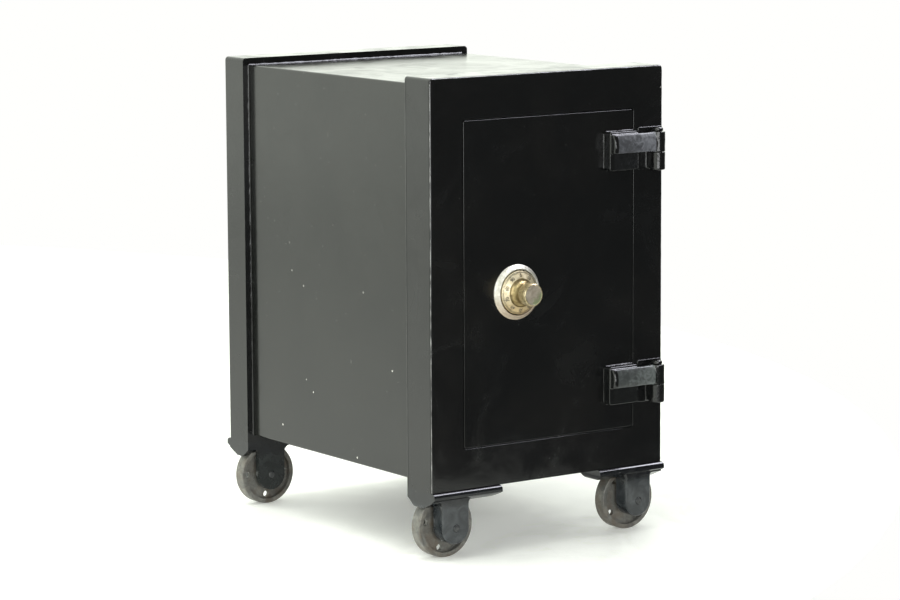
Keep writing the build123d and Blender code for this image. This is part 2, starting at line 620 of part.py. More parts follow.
def make_caster_wheel(name, side, end):
    x, y = corner_xy(side, end, WHEEL_INSET, OUTER_LEGS[end] + WHEEL_SLOT / 2)
    half = WHEEL_TREAD / 2
    with BuildPart() as wheel:
        rod_y(x, AXLE_Z, (y - half, y + half), WHEEL_RADIUS)
        fillet(wheel.edges().filter_by(GeomType.CIRCLE), RIM_ROUND)
        for face_y, inward in ((y - half, 1), (y + half, -1)):
            span = sorted((face_y - inward, face_y + inward * WEB_RECESS))
            rod_y(x, AXLE_Z, span, WEB_RADII[1], Mode.SUBTRACT)
        rod_y(x, AXLE_Z, (y - half - HUB_EXTRA, y + half + HUB_EXTRA), WEB_RADII[0])
        rod_y(x, AXLE_Z, (y - WHEEL_TREAD, y + WHEEL_TREAD), AXLE_RADIUS + RUNNING_CLEARANCE, Mode.SUBTRACT)
        wheel_plane = Plane(origin=(x, y + WHEEL_TREAD, AXLE_Z), x_dir=(1, 0, 0), z_dir=(0, -1, 0))
        with BuildSketch(wheel_plane):
            with PolarLocations(WEB_HOLE_CIRCLE, WEB_HOLES, start_angle=WHEEL_TURNS[(end, side)]):
                Circle(WEB_HOLE_RADIUS)
        extrude(amount=2 * WHEEL_TREAD, mode=Mode.SUBTRACT)
    keep(name, wheel.part)


def make_bracket_screws():
    with BuildPart() as bracket_screws:
        for side, end in CORNERS:
            for x, y, mouth in bracket_screw_places(side, end):
                rod_z(x, y, (mouth, BASE + BRACKET_SCREW_BITE), BRACKET_SCREW_RADIUS)
    keep("bracket_screws", bracket_screws.part)


# ---------------------------------------------------------------- lock
LOCK_CASE_GAP = 0.7       # between the lock case and the pan's side
LOCK_CASE_X = (DOOR_X[0] + STEP_INSETS[2] + PAN_SHEET + LOCK_CASE_GAP, DIAL_X + 39.0)
LOCK_CASE_Z = (DIAL_Z - 27.0, DIAL_Z + 41.0)
LOCK_CASE_DEPTH = (FACE_THICKNESS, 46.0)
LOCK_WALL = 2.5
LOCK_COVER_SHEET = 2.5
EAR_RADIUS = 5.0
LOCK_SCREW_RADIUS = 2.5
LOCK_SCREW_HEAD = 4.0
LOCK_SCREW_INSET = 12.0   # in from the ends of the case
LOCK_SCREW_OUTSET = 3.0   # outside its upper and lower walls, in the ears
LOCK_SCREW_POINTS = [(x, z) for x in (LOCK_CASE_X[0] + LOCK_SCREW_INSET, LOCK_CASE_X[1] - LOCK_SCREW_INSET)
                     for z in (LOCK_CASE_Z[0] - LOCK_SCREW_OUTSET, LOCK_CASE_Z[1] + LOCK_SCREW_OUTSET)]
LOCK_SCREW_TIP = 5.0      # the lock screws bite into the door plate to this depth
LOCK_WELL_SIDE = 4.0      # room in the filling beside the lock case
LOCK_WELL_ENDS = 12.0     # room in the filling above and below it
SPINDLE_HOLE_RADIUS = 5.0

TUMBLER_RADIUS = 22.0
TUMBLER_DEPTHS = ((32.0, 35.0), (26.0, 29.0), (20.0, 23.0))
CAM_DEPTH = (38.2, 42.5)
POST_RADIUS = 7.0
POST_DEPTH = (LOCK_CASE_DEPTH[0] + LOCK_WALL, 36.5)
POST_FLANGE = 2.0         # thickness of the flange at its foot
POST_FLANGE_RADIUS = 12.0
SPACER_RADIUS = 10.0
SPACER_GAP = 0.2          # at each end of a spacer
DRIVE_PIN_RADIUS = 1.5
DRIVE_PIN_CIRCLE = 16.0
DRIVE_PIN_LENGTH = 2.0
DRIVE_PIN_TURN = 12.0     # angle between two pins that just touch
CAM_PIN_ANGLE = 150.0
GATE_WIDTH = 9.0
GATE_DEPTH = 6.0

LEVER_DEPTH = (38.4, 42.0)
LEVER_PIVOT = (BOLT_X[1] - 5.0, DIAL_Z + 6.0)
LEVER_SCREW_RADIUS = 2.5
LEVER_SCREW_HEAD = 4.5
LEVER_SCREW_FOOT = BOLT_DEPTH[0] + 2      # depth of the blind end of its hole in the bolt
LEVER_SCREW_GAP = 0.3     # between the lever and the screw's head
LEVER_EYE_RADIUS = 5.0
LEVER_ARM_HALF = 4.0      # half width of the upright part of the lever
LEVER_ARM_RISE = (1.0, 10.0)      # underside and top of its arm above the fence's underside
FENCE_HEIGHT = 5.0
FENCE_SIDE_GAP = 0.5      # between the fence and each side of a gate
ARM_PAST_FENCE = 3.0
BOLT_EDGE_CUT = 1.0
LEVER_CLEARANCE = 0.6     # between the tumblers and the fence while the lever is up


def make_door_plate():
    with BuildPart() as door_plate:
        block(DOOR_X, depth(0, FACE_THICKNESS), DOOR_Z)
        fillet(door_plate.edges().filter_by(Axis.Y), DOOR_ROUND)
        fillet(door_plate.faces().sort_by(Axis.Y)[0].edges(), DOOR_EDGE_ROUND)
        rod_y(DIAL_X, DIAL_Z, depth(-1, FACE_THICKNESS), SPINDLE_HOLE_RADIUS, Mode.SUBTRACT)
        for x, z in strap_bolt_points():
            rod_y(x, z, depth(-1, FACE_THICKNESS), HINGE_BOLT_RADIUS, Mode.SUBTRACT)
        for x, z in LOCK_SCREW_POINTS:
            rod_y(x, z, depth(LOCK_SCREW_TIP, FACE_THICKNESS), LOCK_SCREW_RADIUS, Mode.SUBTRACT)
    keep("door_plate", door_plate.part)


PAN_FLANGE = 14.0
FILL_END = 50.0
COVER_SCREW_TIP = 50.5
COVER_SCREW_RADIUS = 2.0
COVER_SCREW_HEAD = 4.5
COVER_SCREW_RISE = 90.0
COVER_INSET = STEP_INSETS[2] + 1.0
COVER_CORNER_ROUND = 3.0
COVER_EDGE_ROUND = 0.8


def cover_screw_points():
    """Eight screws around the inner cover plate, over the middle of the pan's flange."""
    x, z = door_outline(STEP_INSETS[2] + PAN_SHEET + PAN_FLANGE / 2)
    middle_x, middle_z = sum(x) / 2, sum(z) / 2
    corners = [(px, pz) for px in x for pz in z]
    upper_left = (x[0], middle_z + COVER_SCREW_RISE)  # clear of the lock
    return corners + [(middle_x, z[0]), (middle_x, z[1]), upper_left, (x[1], middle_z)]


def make_door_pan():
    inner_insets = [inset + PAN_SHEET for inset in STEP_INSETS]
    inner_ends = [end - PAN_SHEET for end in STEP_DEPTHS]
    with BuildPart() as door_pan:
        stepped_block(STEP_INSETS, STEP_DEPTHS)
        stepped_block(inner_insets, inner_ends, Mode.SUBTRACT)
        window_x, window_z = door_outline(STEP_INSETS[2] + PAN_SHEET + PAN_FLANGE)
        block(window_x, depth(FILL_END, STEP_DEPTHS[2] + 1), window_z, Mode.SUBTRACT)
        slot_x = (DOOR_X[0], LOCK_CASE_X[0])
        block(slot_x, depth(*BOLT_SLOT_DEPTH), BOLT_SLOT_Z, Mode.SUBTRACT)
        for x, z in cover_screw_points():
            rod_y(x, z, depth(FILL_END, STEP_DEPTHS[2] + 1), COVER_SCREW_RADIUS, Mode.SUBTRACT)
    keep("door_pan", door_pan.part)


def make_door_fill():
    insets = [inset + PAN_SHEET for inset in STEP_INSETS]
    ends = [STEP_DEPTHS[0] - PAN_SHEET, STEP_DEPTHS[1] - PAN_SHEET, FILL_END]
    well_x = (DOOR_X[0], LOCK_CASE_X[1] + LOCK_WELL_SIDE)
    well_z = (LOCK_CASE_Z[0] - LOCK_WELL_ENDS, LOCK_CASE_Z[1] + LOCK_WELL_ENDS)
    with BuildPart() as door_fill:
        stepped_block(insets, ends)
        block(well_x, depth(FACE_THICKNESS, FILL_END), well_z, Mode.SUBTRACT)
        head_recesses(strap_bolt_points())
    keep("door_fill", door_fill.part)


def make_inner_cover():
    x, z = door_outline(COVER_INSET)
    with BuildPart() as inner_cover:
        block(x, depth(STEP_DEPTHS[2], STEP_DEPTHS[2] + COVER_SHEET), z)
        fillet(inner_cover.edges().filter_by(Axis.Y), COVER_CORNER_ROUND)
        fillet(inner_cover.faces().sort_by(Axis.Y)[-1].edges(), COVER_EDGE_ROUND)
        for screw_x, screw_z in cover_screw_points():
            cut = depth(STEP_DEPTHS[2], STEP_DEPTHS[2] + COVER_SHEET)
            rod_y(screw_x, screw_z, cut, COVER_SCREW_RADIUS, Mode.SUBTRACT)
    keep("inner_cover", inner_cover.part)
    head_depth = STEP_DEPTHS[2] + COVER_SHEET
    screws = domed_screws(cover_screw_points(), FRONT + head_depth, COVER_SCREW_HEAD, COVER_SCREW_RADIUS,
                          head_depth - COVER_SCREW_TIP, 1)
    keep("inner_cover_screws", screws)


DIAL_GAP = 0.8            # between the dial and its ring, and between the dial and the door
RING_RIM = 1.2            # upright outer rim of the ring
RING_LIP = (0.8, 0.4)     # width and height of the bevel at its inner edge
DIAL_RIM_SLANT = 1.0      # the dial's back is this much smaller in radius than its rim
NECK_RADIUS = 10.5        # under the knob
NECK_CURVE = (2.2, 3.6)   # the flare's middle, outside the neck and above the hub's shoulder
KNOB_BACK_CUT = 2.5
KNOB_FACE_CUT = 0.9


def make_dial_ring():
    inside = DIAL_RADIUS + DIAL_GAP
    with BuildPart() as dial_ring:
        with BuildSketch(Plane.XY):
            with BuildLine():
                Polyline((inside, 0), (DIAL_RING_RADIUS, 0), (DIAL_RING_RADIUS, RING_RIM),
                         (inside + RING_LIP[0], DIAL_RING_PROUD), (inside, DIAL_RING_PROUD - RING_LIP[1]),
                         close=True)
            make_face()
        revolve(axis=Axis.Y)
    keep("dial_ring", front_of_door(dial_ring.part))


def front_of_door(part):
    """Move a piece turned about the Y axis, with +Y out of the door, to the dial's place."""
    placed = part.rotate(Axis.Z, 180)
    return placed.translate((DIAL_X, FRONT, DIAL_Z))


def make_dial():
    with BuildPart() as dial:
        with BuildSketch(Plane.XY):
            with BuildLine():
                start = (SPINDLE_RADIUS, DIAL_GAP)
                rim_back = (DIAL_RADIUS - DIAL_RIM_SLANT, DIAL_GAP)
                rim = (DIAL_RADIUS, DIAL_RING_PROUD)
                hub = (HUB_RADIUS, HUB_PROUD)
                neck = (NECK_RADIUS, KNOB_BASE)
                flare = (NECK_RADIUS + NECK_CURVE[0], HUB_PROUD + NECK_CURVE[1])
                Polyline(start, rim_back, rim, hub)
                ThreePointArc(hub, flare, neck)
                Polyline(neck, (SPINDLE_RADIUS, KNOB_BASE), start)
            make_face()
        revolve(axis=Axis.Y)
    keep("dial", front_of_door(dial.part))


def make_knob():
    with BuildPart() as knob:
        with BuildSketch(Plane.XY):
            with BuildLine():
                back_corner = (KNOB_RADIUS - KNOB_BACK_CUT, KNOB_BASE)
                face_corner = (KNOB_RADIUS - KNOB_FACE_CUT, KNOB_PROUD)
                Polyline((0, KNOB_BASE), back_corner, (KNOB_RADIUS, KNOB_BASE + KNOB_BACK_CUT),
                         (KNOB_RADIUS, KNOB_PROUD - KNOB_FACE_CUT), face_corner, (0, KNOB_PROUD), close=True)
            make_face()
        revolve(axis=Axis.Y)
    keep("knob", front_of_door(knob.part))


def make_spindle():
    with BuildPart() as spindle:
        rod_y(DIAL_X, DIAL_Z, depth(-KNOB_BASE, CAM_DEPTH[1] + 1.5), SPINDLE_RADIUS)
    keep("spindle", spindle.part)


def turned_place(circle, angle):
    """Place on the tumblers' faces at a radius and an angle from straight up, clockwise from behind."""
    place = Vector(0, circle, 0).rotate(Axis.Z, angle)
    return DIAL_X + place.X, DIAL_Z + place.Y


def cut_gate(span):
    """Cut the gate in the top of a tumbler or the cam."""
    rim = DIAL_Z + TUMBLER_RADIUS
    gate_x = (DIAL_X - GATE_WIDTH / 2, DIAL_X + GATE_WIDTH / 2)
    block(gate_x, span, (rim - GATE_DEPTH, rim + 1), Mode.SUBTRACT)


def make_drive_cam():
    span = depth(*CAM_DEPTH)
    with BuildPart() as drive_cam:
        rod_y(DIAL_X, DIAL_Z, span, TUMBLER_RADIUS)
        cut_gate(span)
        rod_y(DIAL_X, DIAL_Z, span, SPINDLE_RADIUS, Mode.SUBTRACT)
        x, z = turned_place(DRIVE_PIN_CIRCLE, CAM_PIN_ANGLE)
        rod_y(x, z, depth(CAM_DEPTH[0] - DRIVE_PIN_LENGTH, CAM_DEPTH[0]), DRIVE_PIN_RADIUS)
    keep("drive_cam", drive_cam.part)


def make_tumblers():
    for number, (start, end) in enumerate(TUMBLER_DEPTHS, 1):
        span = depth(start, end)
        rear_pin = CAM_PIN_ANGLE + (2 * number - 1) * DRIVE_PIN_TURN
        with BuildPart() as tumbler:
            rod_y(DIAL_X, DIAL_Z, span, TUMBLER_RADIUS)
            cut_gate(span)
            rod_y(DIAL_X, DIAL_Z, span, POST_RADIUS + RUNNING_CLEARANCE, Mode.SUBTRACT)
            x, z = turned_place(DRIVE_PIN_CIRCLE, rear_pin)
            rod_y(x, z, depth(end, end + DRIVE_PIN_LENGTH), DRIVE_PIN_RADIUS)
            if number < len(TUMBLER_DEPTHS):
                x, z = turned_place(DRIVE_PIN_CIRCLE, rear_pin + DRIVE_PIN_TURN)
                rod_y(x, z, depth(start - DRIVE_PIN_LENGTH, start), DRIVE_PIN_RADIUS)
        keep(f"tumbler_{number}", tumbler.part)


def make_wheel_post():
    with BuildPart() as wheel_post:
        rod_y(DIAL_X, DIAL_Z, depth(POST_DEPTH[0], POST_DEPTH[0] + POST_FLANGE), POST_FLANGE_RADIUS)
        rod_y(DIAL_X, DIAL_Z, depth(*POST_DEPTH), POST_RADIUS)
        rod_y(DIAL_X, DIAL_Z, depth(*POST_DEPTH), SPINDLE_RADIUS + RUNNING_CLEARANCE, Mode.SUBTRACT)
    keep("wheel_post", wheel_post.part)
    gaps = [(TUMBLER_DEPTHS[1][1], TUMBLER_DEPTHS[0][0]), (TUMBLER_DEPTHS[2][1], TUMBLER_DEPTHS[1][0])]
    gaps.append((POST_DEPTH[0] + POST_FLANGE, TUMBLER_DEPTHS[2][0]))
    with BuildPart() as wheel_spacers:
        for start, end in gaps:
            span = depth(start + SPACER_GAP, end - SPACER_GAP)
            rod_y(DIAL_X, DIAL_Z, span, SPACER_RADIUS)
            rod_y(DIAL_X, DIAL_Z, span, POST_RADIUS, Mode.SUBTRACT)
    keep("wheel_spacers", wheel_spacers.part)


def make_lock_case():
    inner_x = (LOCK_CASE_X[0] + LOCK_WALL, LOCK_CASE_X[1] - LOCK_WALL)
    inner_z = (LOCK_CASE_Z[0] + LOCK_WALL, LOCK_CASE_Z[1] - LOCK_WALL)
    start, end = LOCK_CASE_DEPTH
    with BuildPart() as lock_case:
        block(LOCK_CASE_X, depth(start, end), LOCK_CASE_Z)
        for x, z in LOCK_SCREW_POINTS:
            rod_y(x, z, depth(start, end), EAR_RADIUS)
        block(inner_x, depth(start + LOCK_WALL, end + 1), inner_z, Mode.SUBTRACT)
        rod_y(DIAL_X, DIAL_Z, depth(start, start + LOCK_WALL), SPINDLE_HOLE_RADIUS, Mode.SUBTRACT)
        slot_x = (LOCK_CASE_X[0] - 1, inner_x[0])
        block(slot_x, depth(*BOLT_SLOT_DEPTH), BOLT_SLOT_Z, Mode.SUBTRACT)
        for x, z in LOCK_SCREW_POINTS:
            rod_y(x, z, depth(start, end), LOCK_SCREW_RADIUS, Mode.SUBTRACT)
    keep("lock_case", lock_case.part)
    with BuildPart() as lock_cover:
        block(LOCK_CASE_X, depth(end, end + LOCK_COVER_SHEET), LOCK_CASE_Z)
        for x, z in LOCK_SCREW_POINTS:
            rod_y(x, z, depth(end, end + LOCK_COVER_SHEET), EAR_RADIUS)
        for x, z in LOCK_SCREW_POINTS:
            rod_y(x, z, depth(end, end + LOCK_COVER_SHEET), LOCK_SCREW_RADIUS, Mode.SUBTRACT)
    keep("lock_cover", lock_cover.part)
    head_depth = end + LOCK_COVER_SHEET
    shank = head_depth - LOCK_SCREW_TIP
    head_y = FRONT + head_depth
    screws = domed_screws(LOCK_SCREW_POINTS, head_y, LOCK_SCREW_HEAD, LOCK_SCREW_RADIUS, shank, 1)
    keep("lock_screws", screws)


def make_bolt():
    z = (DIAL_Z - BOLT_HALF_HEIGHT, DIAL_Z + BOLT_HALF_HEIGHT)
    with BuildPart() as bolt:
        block(BOLT_X, depth(*BOLT_DEPTH), z)
        chamfer(bolt.faces().sort_by(Axis.X)[0].edges(), BOLT_EDGE_CUT)
        rod_y(*LEVER_PIVOT, depth(LEVER_SCREW_FOOT, BOLT_DEPTH[1]), LEVER_SCREW_RADIUS, Mode.SUBTRACT)
    keep("bolt", bolt.part)
    with BuildPart() as lever_screw:
        head_depth = LEVER_DEPTH[1] + LEVER_SCREW_GAP
        rod_y(*LEVER_PIVOT, depth(LEVER_SCREW_FOOT, head_depth), LEVER_SCREW_RADIUS)
        rod_y(*LEVER_PIVOT, depth(head_depth, head_depth + HEAD_HEIGHT), LEVER_SCREW_HEAD)
    keep("lever_screw", lever_screw.part)


def make_lever():
    pivot_x, pivot_z = LEVER_PIVOT
    fence_low = DIAL_Z + TUMBLER_RADIUS + LEVER_CLEARANCE
    arm_z = (fence_low + LEVER_ARM_RISE[0], fence_low + LEVER_ARM_RISE[1])
    fence_half = GATE_WIDTH / 2 - FENCE_SIDE_GAP
    fence_x = (DIAL_X - fence_half, DIAL_X + fence_half)
    arm_left = pivot_x - LEVER_ARM_HALF
    with BuildPart() as lever:
        rod_y(pivot_x, pivot_z, depth(*LEVER_DEPTH), LEVER_EYE_RADIUS)
        block((arm_left, pivot_x + LEVER_ARM_HALF), depth(*LEVER_DEPTH), (pivot_z, arm_z[1]))
        block((arm_left, fence_x[1] + ARM_PAST_FENCE), depth(*LEVER_DEPTH), arm_z)
        fence_depth = depth(TUMBLER_DEPTHS[2][0] - 1, LEVER_DEPTH[1])
        block(fence_x, fence_depth, (fence_low, fence_low + FENCE_HEIGHT))
        rod_y(pivot_x, pivot_z, depth(*LEVER_DEPTH), LEVER_SCREW_RADIUS + RUNNING_CLEARANCE, Mode.SUBTRACT)
    keep("lever", lever.part)


def make_hinge_bolts():
    strap_points = strap_bolt_points()
    keep("hinge_strap_bolts", hinge_bolts(strap_points, [STRAP_BOLT_BITE] * len(strap_points)))
    keep("hinge_leaf_bolts", hinge_bolts(leaf_bolt_points(), LEAF_BOLT_BITES * len(HINGE_BASES)))


# ---------------------------------------------------------------- make and write everything
for maker in (make_front_frame, make_rear_frame, make_outer_shell, make_back_plate, make_body_fill,
              make_door_jamb, make_strike_block, make_inner_liner, make_shelf, make_hinge_bolts,
              make_bracket_screws, make_door_plate, make_door_pan, make_door_fill, make_inner_cover,
              make_dial_ring, make_dial, make_knob, make_spindle, make_drive_cam, make_tumblers,
              make_wheel_post, make_lock_case, make_bolt, make_lever):
    maker()
for hinge, hinge_rise in HINGE_BASES.items():
    make_hinge_strap(hinge, hinge_rise)
    make_hinge_leaf(hinge, hinge_rise)
    make_hinge_pin(hinge, hinge_rise)
for side, end in CORNERS:
    corner = f"{end}_{'left' if side < 0 else 'right'}"
    make_caster_bracket(f"{corner}_bracket", side, end)
    make_caster_axle(f"{corner}_axle", side, end)
    make_caster_wheel(f"{corner}_wheel", side, end)

os.makedirs("parts", exist_ok=True)
for name, part in pieces.items():
    export_step(part, f"parts/{name}.step")
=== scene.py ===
"""Looks of the antique floor safe.

Glossy black paint over steel bands and sheets, iron casters, and a nickel and brass combination dial.
Metres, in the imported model's frame: the door faces -Y, +X is to the right as seen from the front, and the
floor is z = 0.
"""

import json
import math

import bmesh
import bpy
from mathutils import Matrix, Vector, noise


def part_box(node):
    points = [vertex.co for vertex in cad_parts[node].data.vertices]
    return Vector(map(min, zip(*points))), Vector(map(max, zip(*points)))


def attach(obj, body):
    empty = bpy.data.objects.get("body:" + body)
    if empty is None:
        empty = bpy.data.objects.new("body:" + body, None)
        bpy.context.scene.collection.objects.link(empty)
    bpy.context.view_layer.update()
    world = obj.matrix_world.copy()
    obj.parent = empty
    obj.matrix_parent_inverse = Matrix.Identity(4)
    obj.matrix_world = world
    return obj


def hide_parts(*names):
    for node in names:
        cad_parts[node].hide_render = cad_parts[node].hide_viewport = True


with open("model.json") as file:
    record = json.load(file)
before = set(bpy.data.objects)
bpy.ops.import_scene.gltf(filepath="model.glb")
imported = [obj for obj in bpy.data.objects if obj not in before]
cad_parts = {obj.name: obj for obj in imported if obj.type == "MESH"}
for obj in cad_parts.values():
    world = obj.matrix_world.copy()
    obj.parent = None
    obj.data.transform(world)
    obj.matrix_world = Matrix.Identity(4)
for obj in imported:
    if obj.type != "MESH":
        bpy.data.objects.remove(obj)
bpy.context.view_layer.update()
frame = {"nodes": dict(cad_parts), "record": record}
NODES = frame["nodes"]
MM = 0.001
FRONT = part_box("front_frame")[0][1]     # the front face's place along Y
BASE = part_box("front_frame")[0][2]      # the underside of the bands


# ---------------------------------------------------------------- camera, light and floor
CAMERA_AIM = Vector((-0.003, -0.0105, 0.279))
CAMERA_AZIMUTH = math.radians(-35.149)
CAMERA_ELEVATION = math.radians(8.313)
CAMERA_ROLL = math.radians(-0.29)
CAMERA_DISTANCE = 4.31
CAMERA_LENS = 137.42


def make_camera():
    data = bpy.data.cameras.new("camera")
    data.lens = CAMERA_LENS
    data.sensor_width = 36.0
    data.clip_start = 0.1
    data.clip_end = 100.0
    camera = bpy.data.objects.new("camera", data)
    bpy.context.scene.collection.objects.link(camera)
    turn = Matrix.Rotation(CAMERA_AZIMUTH, 4, "Z") @ Matrix.Rotation(math.pi / 2 - CAMERA_ELEVATION, 4, "X")
    back = turn @ Vector((0, 0, 1))
    place = Matrix.Translation(CAMERA_AIM + back * CAMERA_DISTANCE)
    camera.matrix_world = place @ turn @ Matrix.Rotation(CAMERA_ROLL, 4, "Z")
    bpy.context.scene.camera = camera


STUDIO_BRIGHT = (1.66, 1.74, 1.58)
STUDIO_DIM = (0.10, 0.10, 0.098)
BACKDROP = (1.0, 1.0, 0.985)
DARK_SIDE = Vector((0.50, -0.86, -0.10)).normalized()   # towards the unlit half of the studio


def make_world():
    """White paper behind, to the left and above, and the unlit half of the studio in front on the right."""
    world = bpy.data.worlds.new("studio")
    world.use_nodes = True
    tree = world.node_tree
    background = tree.nodes["Background"]
    direction = tree.nodes.new("ShaderNodeTexCoord").outputs["Generated"]
    facing = tree.nodes.new("ShaderNodeVectorMath")
    facing.operation = "DOT_PRODUCT"
    tree.links.new(direction, facing.inputs[0])
    facing.inputs[1].default_value = DARK_SIDE
    share = tree.nodes.new("ShaderNodeMapRange")
    share.interpolation_type = "SMOOTHSTEP"
    share.inputs["From Min"].default_value = -0.10
    share.inputs["From Max"].default_value = 0.45
    tree.links.new(facing.outputs["Value"], share.inputs["Value"])
    studio = tree.nodes.new("ShaderNodeMix")
    studio.data_type = "RGBA"
    studio.inputs[6].default_value = (*STUDIO_BRIGHT, 1)
    studio.inputs[7].default_value = (*STUDIO_DIM, 1)
    tree.links.new(share.outputs["Result"], studio.inputs[0])
    seen = tree.nodes.new("ShaderNodeMix")
    seen.data_type = "RGBA"
    seen.inputs[7].default_value = (*BACKDROP, 1)
    tree.links.new(tree.nodes.new("ShaderNodeLightPath").outputs["Is Camera Ray"], seen.inputs[0])
    tree.links.new(studio.outputs[2], seen.inputs[6])
    tree.links.new(seen.outputs[2], background.inputs["Color"])
    bpy.context.scene.world = world


def make_light(name, place, aim, size, watts, colour=(1, 1, 1)):
    """A soft box of that width and height, in metres."""
    data = bpy.data.lights.new(name, "AREA")
    data.shape = "RECTANGLE"
    data.size = size[0]
    data.size_y = size[1]
    data.energy = watts
    data.color = colour
    light = bpy.data.objects.new(name, data)
    bpy.context.scene.collection.objects.link(light)
    light.location = place
    light.rotation_mode = "QUATERNION"
    light.rotation_quaternion = (Vector(aim) - Vector(place)).to_track_quat("-Z", "Y")
    light.visible_camera = False
    return light


def make_lights():
    make_light("overhead_softbox", (-0.5, 0.1, 2.6), (0, 0, 0.3), (1.5, 1.5), 26, (1.0, 0.99, 0.97))
    make_light("left_window", (-1.15, -2.75, 0.75), (0, -0.1, 0.3), (1.9, 1.5), 52, (0.98, 1.0, 1.0))
    glint = make_light("right_sky", (1.35, -0.35, 2.2), (0, -0.2, 0.3), (1.4, 1.4), 95, (0.90, 0.90, 1.0))
    glint.visible_diffuse = False


# ---------------------------------------------------------------- material nodes
class Surface:
    """One material's nodes. Its coordinates are the piece's own, in metres."""

    def __init__(self, name, **uniform):
        self.material = bpy.data.materials.new(name)
        self.material.use_nodes = True
        self.tree = self.material.node_tree
        self.shader = self.tree.nodes["Principled BSDF"]
        self.place = self.add("ShaderNodeTexCoord").outputs["Object"]
        for socket, value in uniform.items():
            self.shader.inputs[socket.replace("_", " ")].default_value = value

    def add(self, kind, inputs=None, **settings):
        node = self.tree.nodes.new(kind)
        for key, value in settings.items():
            setattr(node, key, value)
        for key, value in (inputs or {}).items():
            self.put(node.inputs[key], value)
        return node

    def put(self, socket, value):
        if isinstance(value, bpy.types.NodeSocket):
            self.tree.links.new(value, socket)
        else:
            socket.default_value = value

    def stretched(self, x, y, z):
        inputs = {0: self.place, 1: (x, y, z)}
        return self.add("ShaderNodeVectorMath", inputs, operation="MULTIPLY").outputs[0]

    def coordinate(self, axis):
        return self.add("ShaderNodeSeparateXYZ", {0: self.place}).outputs[axis]

    def noise(self, scale, detail=2.0, roughness=0.5, place=None, distortion=0.0):
        inputs = {"Vector": place or self.place, "Scale": scale, "Detail": detail,
                  "Roughness": roughness, "Distortion": distortion}
        return self.add("ShaderNodeTexNoise", inputs).outputs["Fac"]

    def between(self, value, low, high, out_low=0.0, out_high=1.0):
        inputs = {"Value": value, "From Min": low, "From Max": high, "To Min": out_low, "To Max": out_high}
        return self.add("ShaderNodeMapRange", inputs, interpolation_type="SMOOTHSTEP").outputs["Result"]

    def math(self, operation, a, b=0.0):
        return self.add("ShaderNodeMath", {0: a, 1: b}, operation=operation).outputs[0]

    def mix(self, factor, a, b):
        first, second = [(*c, 1) if isinstance(c, tuple) else c for c in (a, b)]
        inputs = {0: factor, 6: first, 7: second}
        return self.add("ShaderNodeMix", inputs, data_type="RGBA").outputs[2]

    def bump(self, height, depth, under=None):
        """A height from 0 to 1 stands for depth metres."""
        node = self.add("ShaderNodeBump", {"Height": height, "Distance": depth})
        if under is not None:
            self.put(node.inputs["Normal"], under)
        return node.outputs["Normal"]

    def dots(self, spacing, radius, share, shift=0.0):
        """1 inside scattered round dots: at most one to a cell of that spacing, in a share of the cells."""
        moved = self.add("ShaderNodeVectorMath", {0: self.place, 1: (shift, shift, shift)}, operation="ADD")
        cells = self.add("ShaderNodeTexVoronoi", {"Vector": moved.outputs[0], "Scale": 1 / spacing})
        solid = 0.7 * radius / spacing
        faded = 1.2 * radius / spacing
        inside = self.between(cells.outputs["Distance"], solid, faded, 1.0, 0.0)
        number = self.add("ShaderNodeSeparateColor", {0: cells.outputs["Color"]}).outputs[0]
        return self.math("MULTIPLY", inside, self.math("LESS_THAN", number, share))

    def streaks(self, spacing, width, share, length):
        """1 inside scattered upright dashes, length times as tall as they are wide."""
        inputs = {"Vector": self.stretched(1, 1, 1 / length), "Scale": 1 / spacing}
        cells = self.add("ShaderNodeTexVoronoi", inputs)
        solid = 0.4 * width / spacing
        faded = width / spacing
        inside = self.between(cells.outputs["Distance"], solid, faded, 1.0, 0.0)
        number = self.add("ShaderNodeSeparateColor", {0: cells.outputs["Color"]}).outputs[1]
        return self.math("MULTIPLY", inside, self.math("LESS_THAN", number, share))

    def colour(self, value):
        self.put(self.shader.inputs["Base Color"], value)

    def roughness(self, value):
        self.put(self.shader.inputs["Roughness"], value)

    def normal(self, value):
        self.put(self.shader.inputs["Normal"], value)


# ---------------------------------------------------------------- materials
def black_paint():
    """Old brushed black enamel on the front and the bands: cloudy, with dust specks and small chips."""
    s = Surface("black_paint")
    cloud = s.noise(9.0, 4.0, 0.6, distortion=0.4)
    base = s.mix(s.between(cloud, 0.35, 0.75), (0.0036, 0.0040, 0.0042), (0.0062, 0.0062, 0.0060))
    specks = s.dots(spacing=0.012, radius=0.00045, share=0.30)
    chips = s.dots(spacing=0.045, radius=0.0010, share=0.30, shift=0.37)
    scratches = s.streaks(spacing=0.021, width=0.00045, share=0.16, length=9.0)
    base = s.mix(s.math("MULTIPLY", specks, 0.5), base, (0.16, 0.16, 0.15))
    base = s.mix(s.math("MULTIPLY", chips, 0.9), base, (0.36, 0.35, 0.33))
    base = s.mix(s.math("MULTIPLY", scratches, 0.22), base, (0.20, 0.20, 0.19))
    s.colour(base)
    marks = s.math("MAXIMUM", s.math("MAXIMUM", specks, chips), scratches)
    gloss = s.between(s.noise(13.0, 6.0, 0.65, distortion=1.0), 0.35, 0.75, 0.12, 0.34)
    s.roughness(s.math("MAXIMUM", gloss, s.math("MULTIPLY", marks, 0.5)))
    brush = s.bump(s.noise(1.0, 3.0, 0.6, s.stretched(60.0, 60.0, 9.0)), 0.00005)
    peel = s.bump(s.noise(420.0, 2.0), 0.000010, brush)
    s.normal(s.bump(marks, 0.00006, peel))
    return s.material


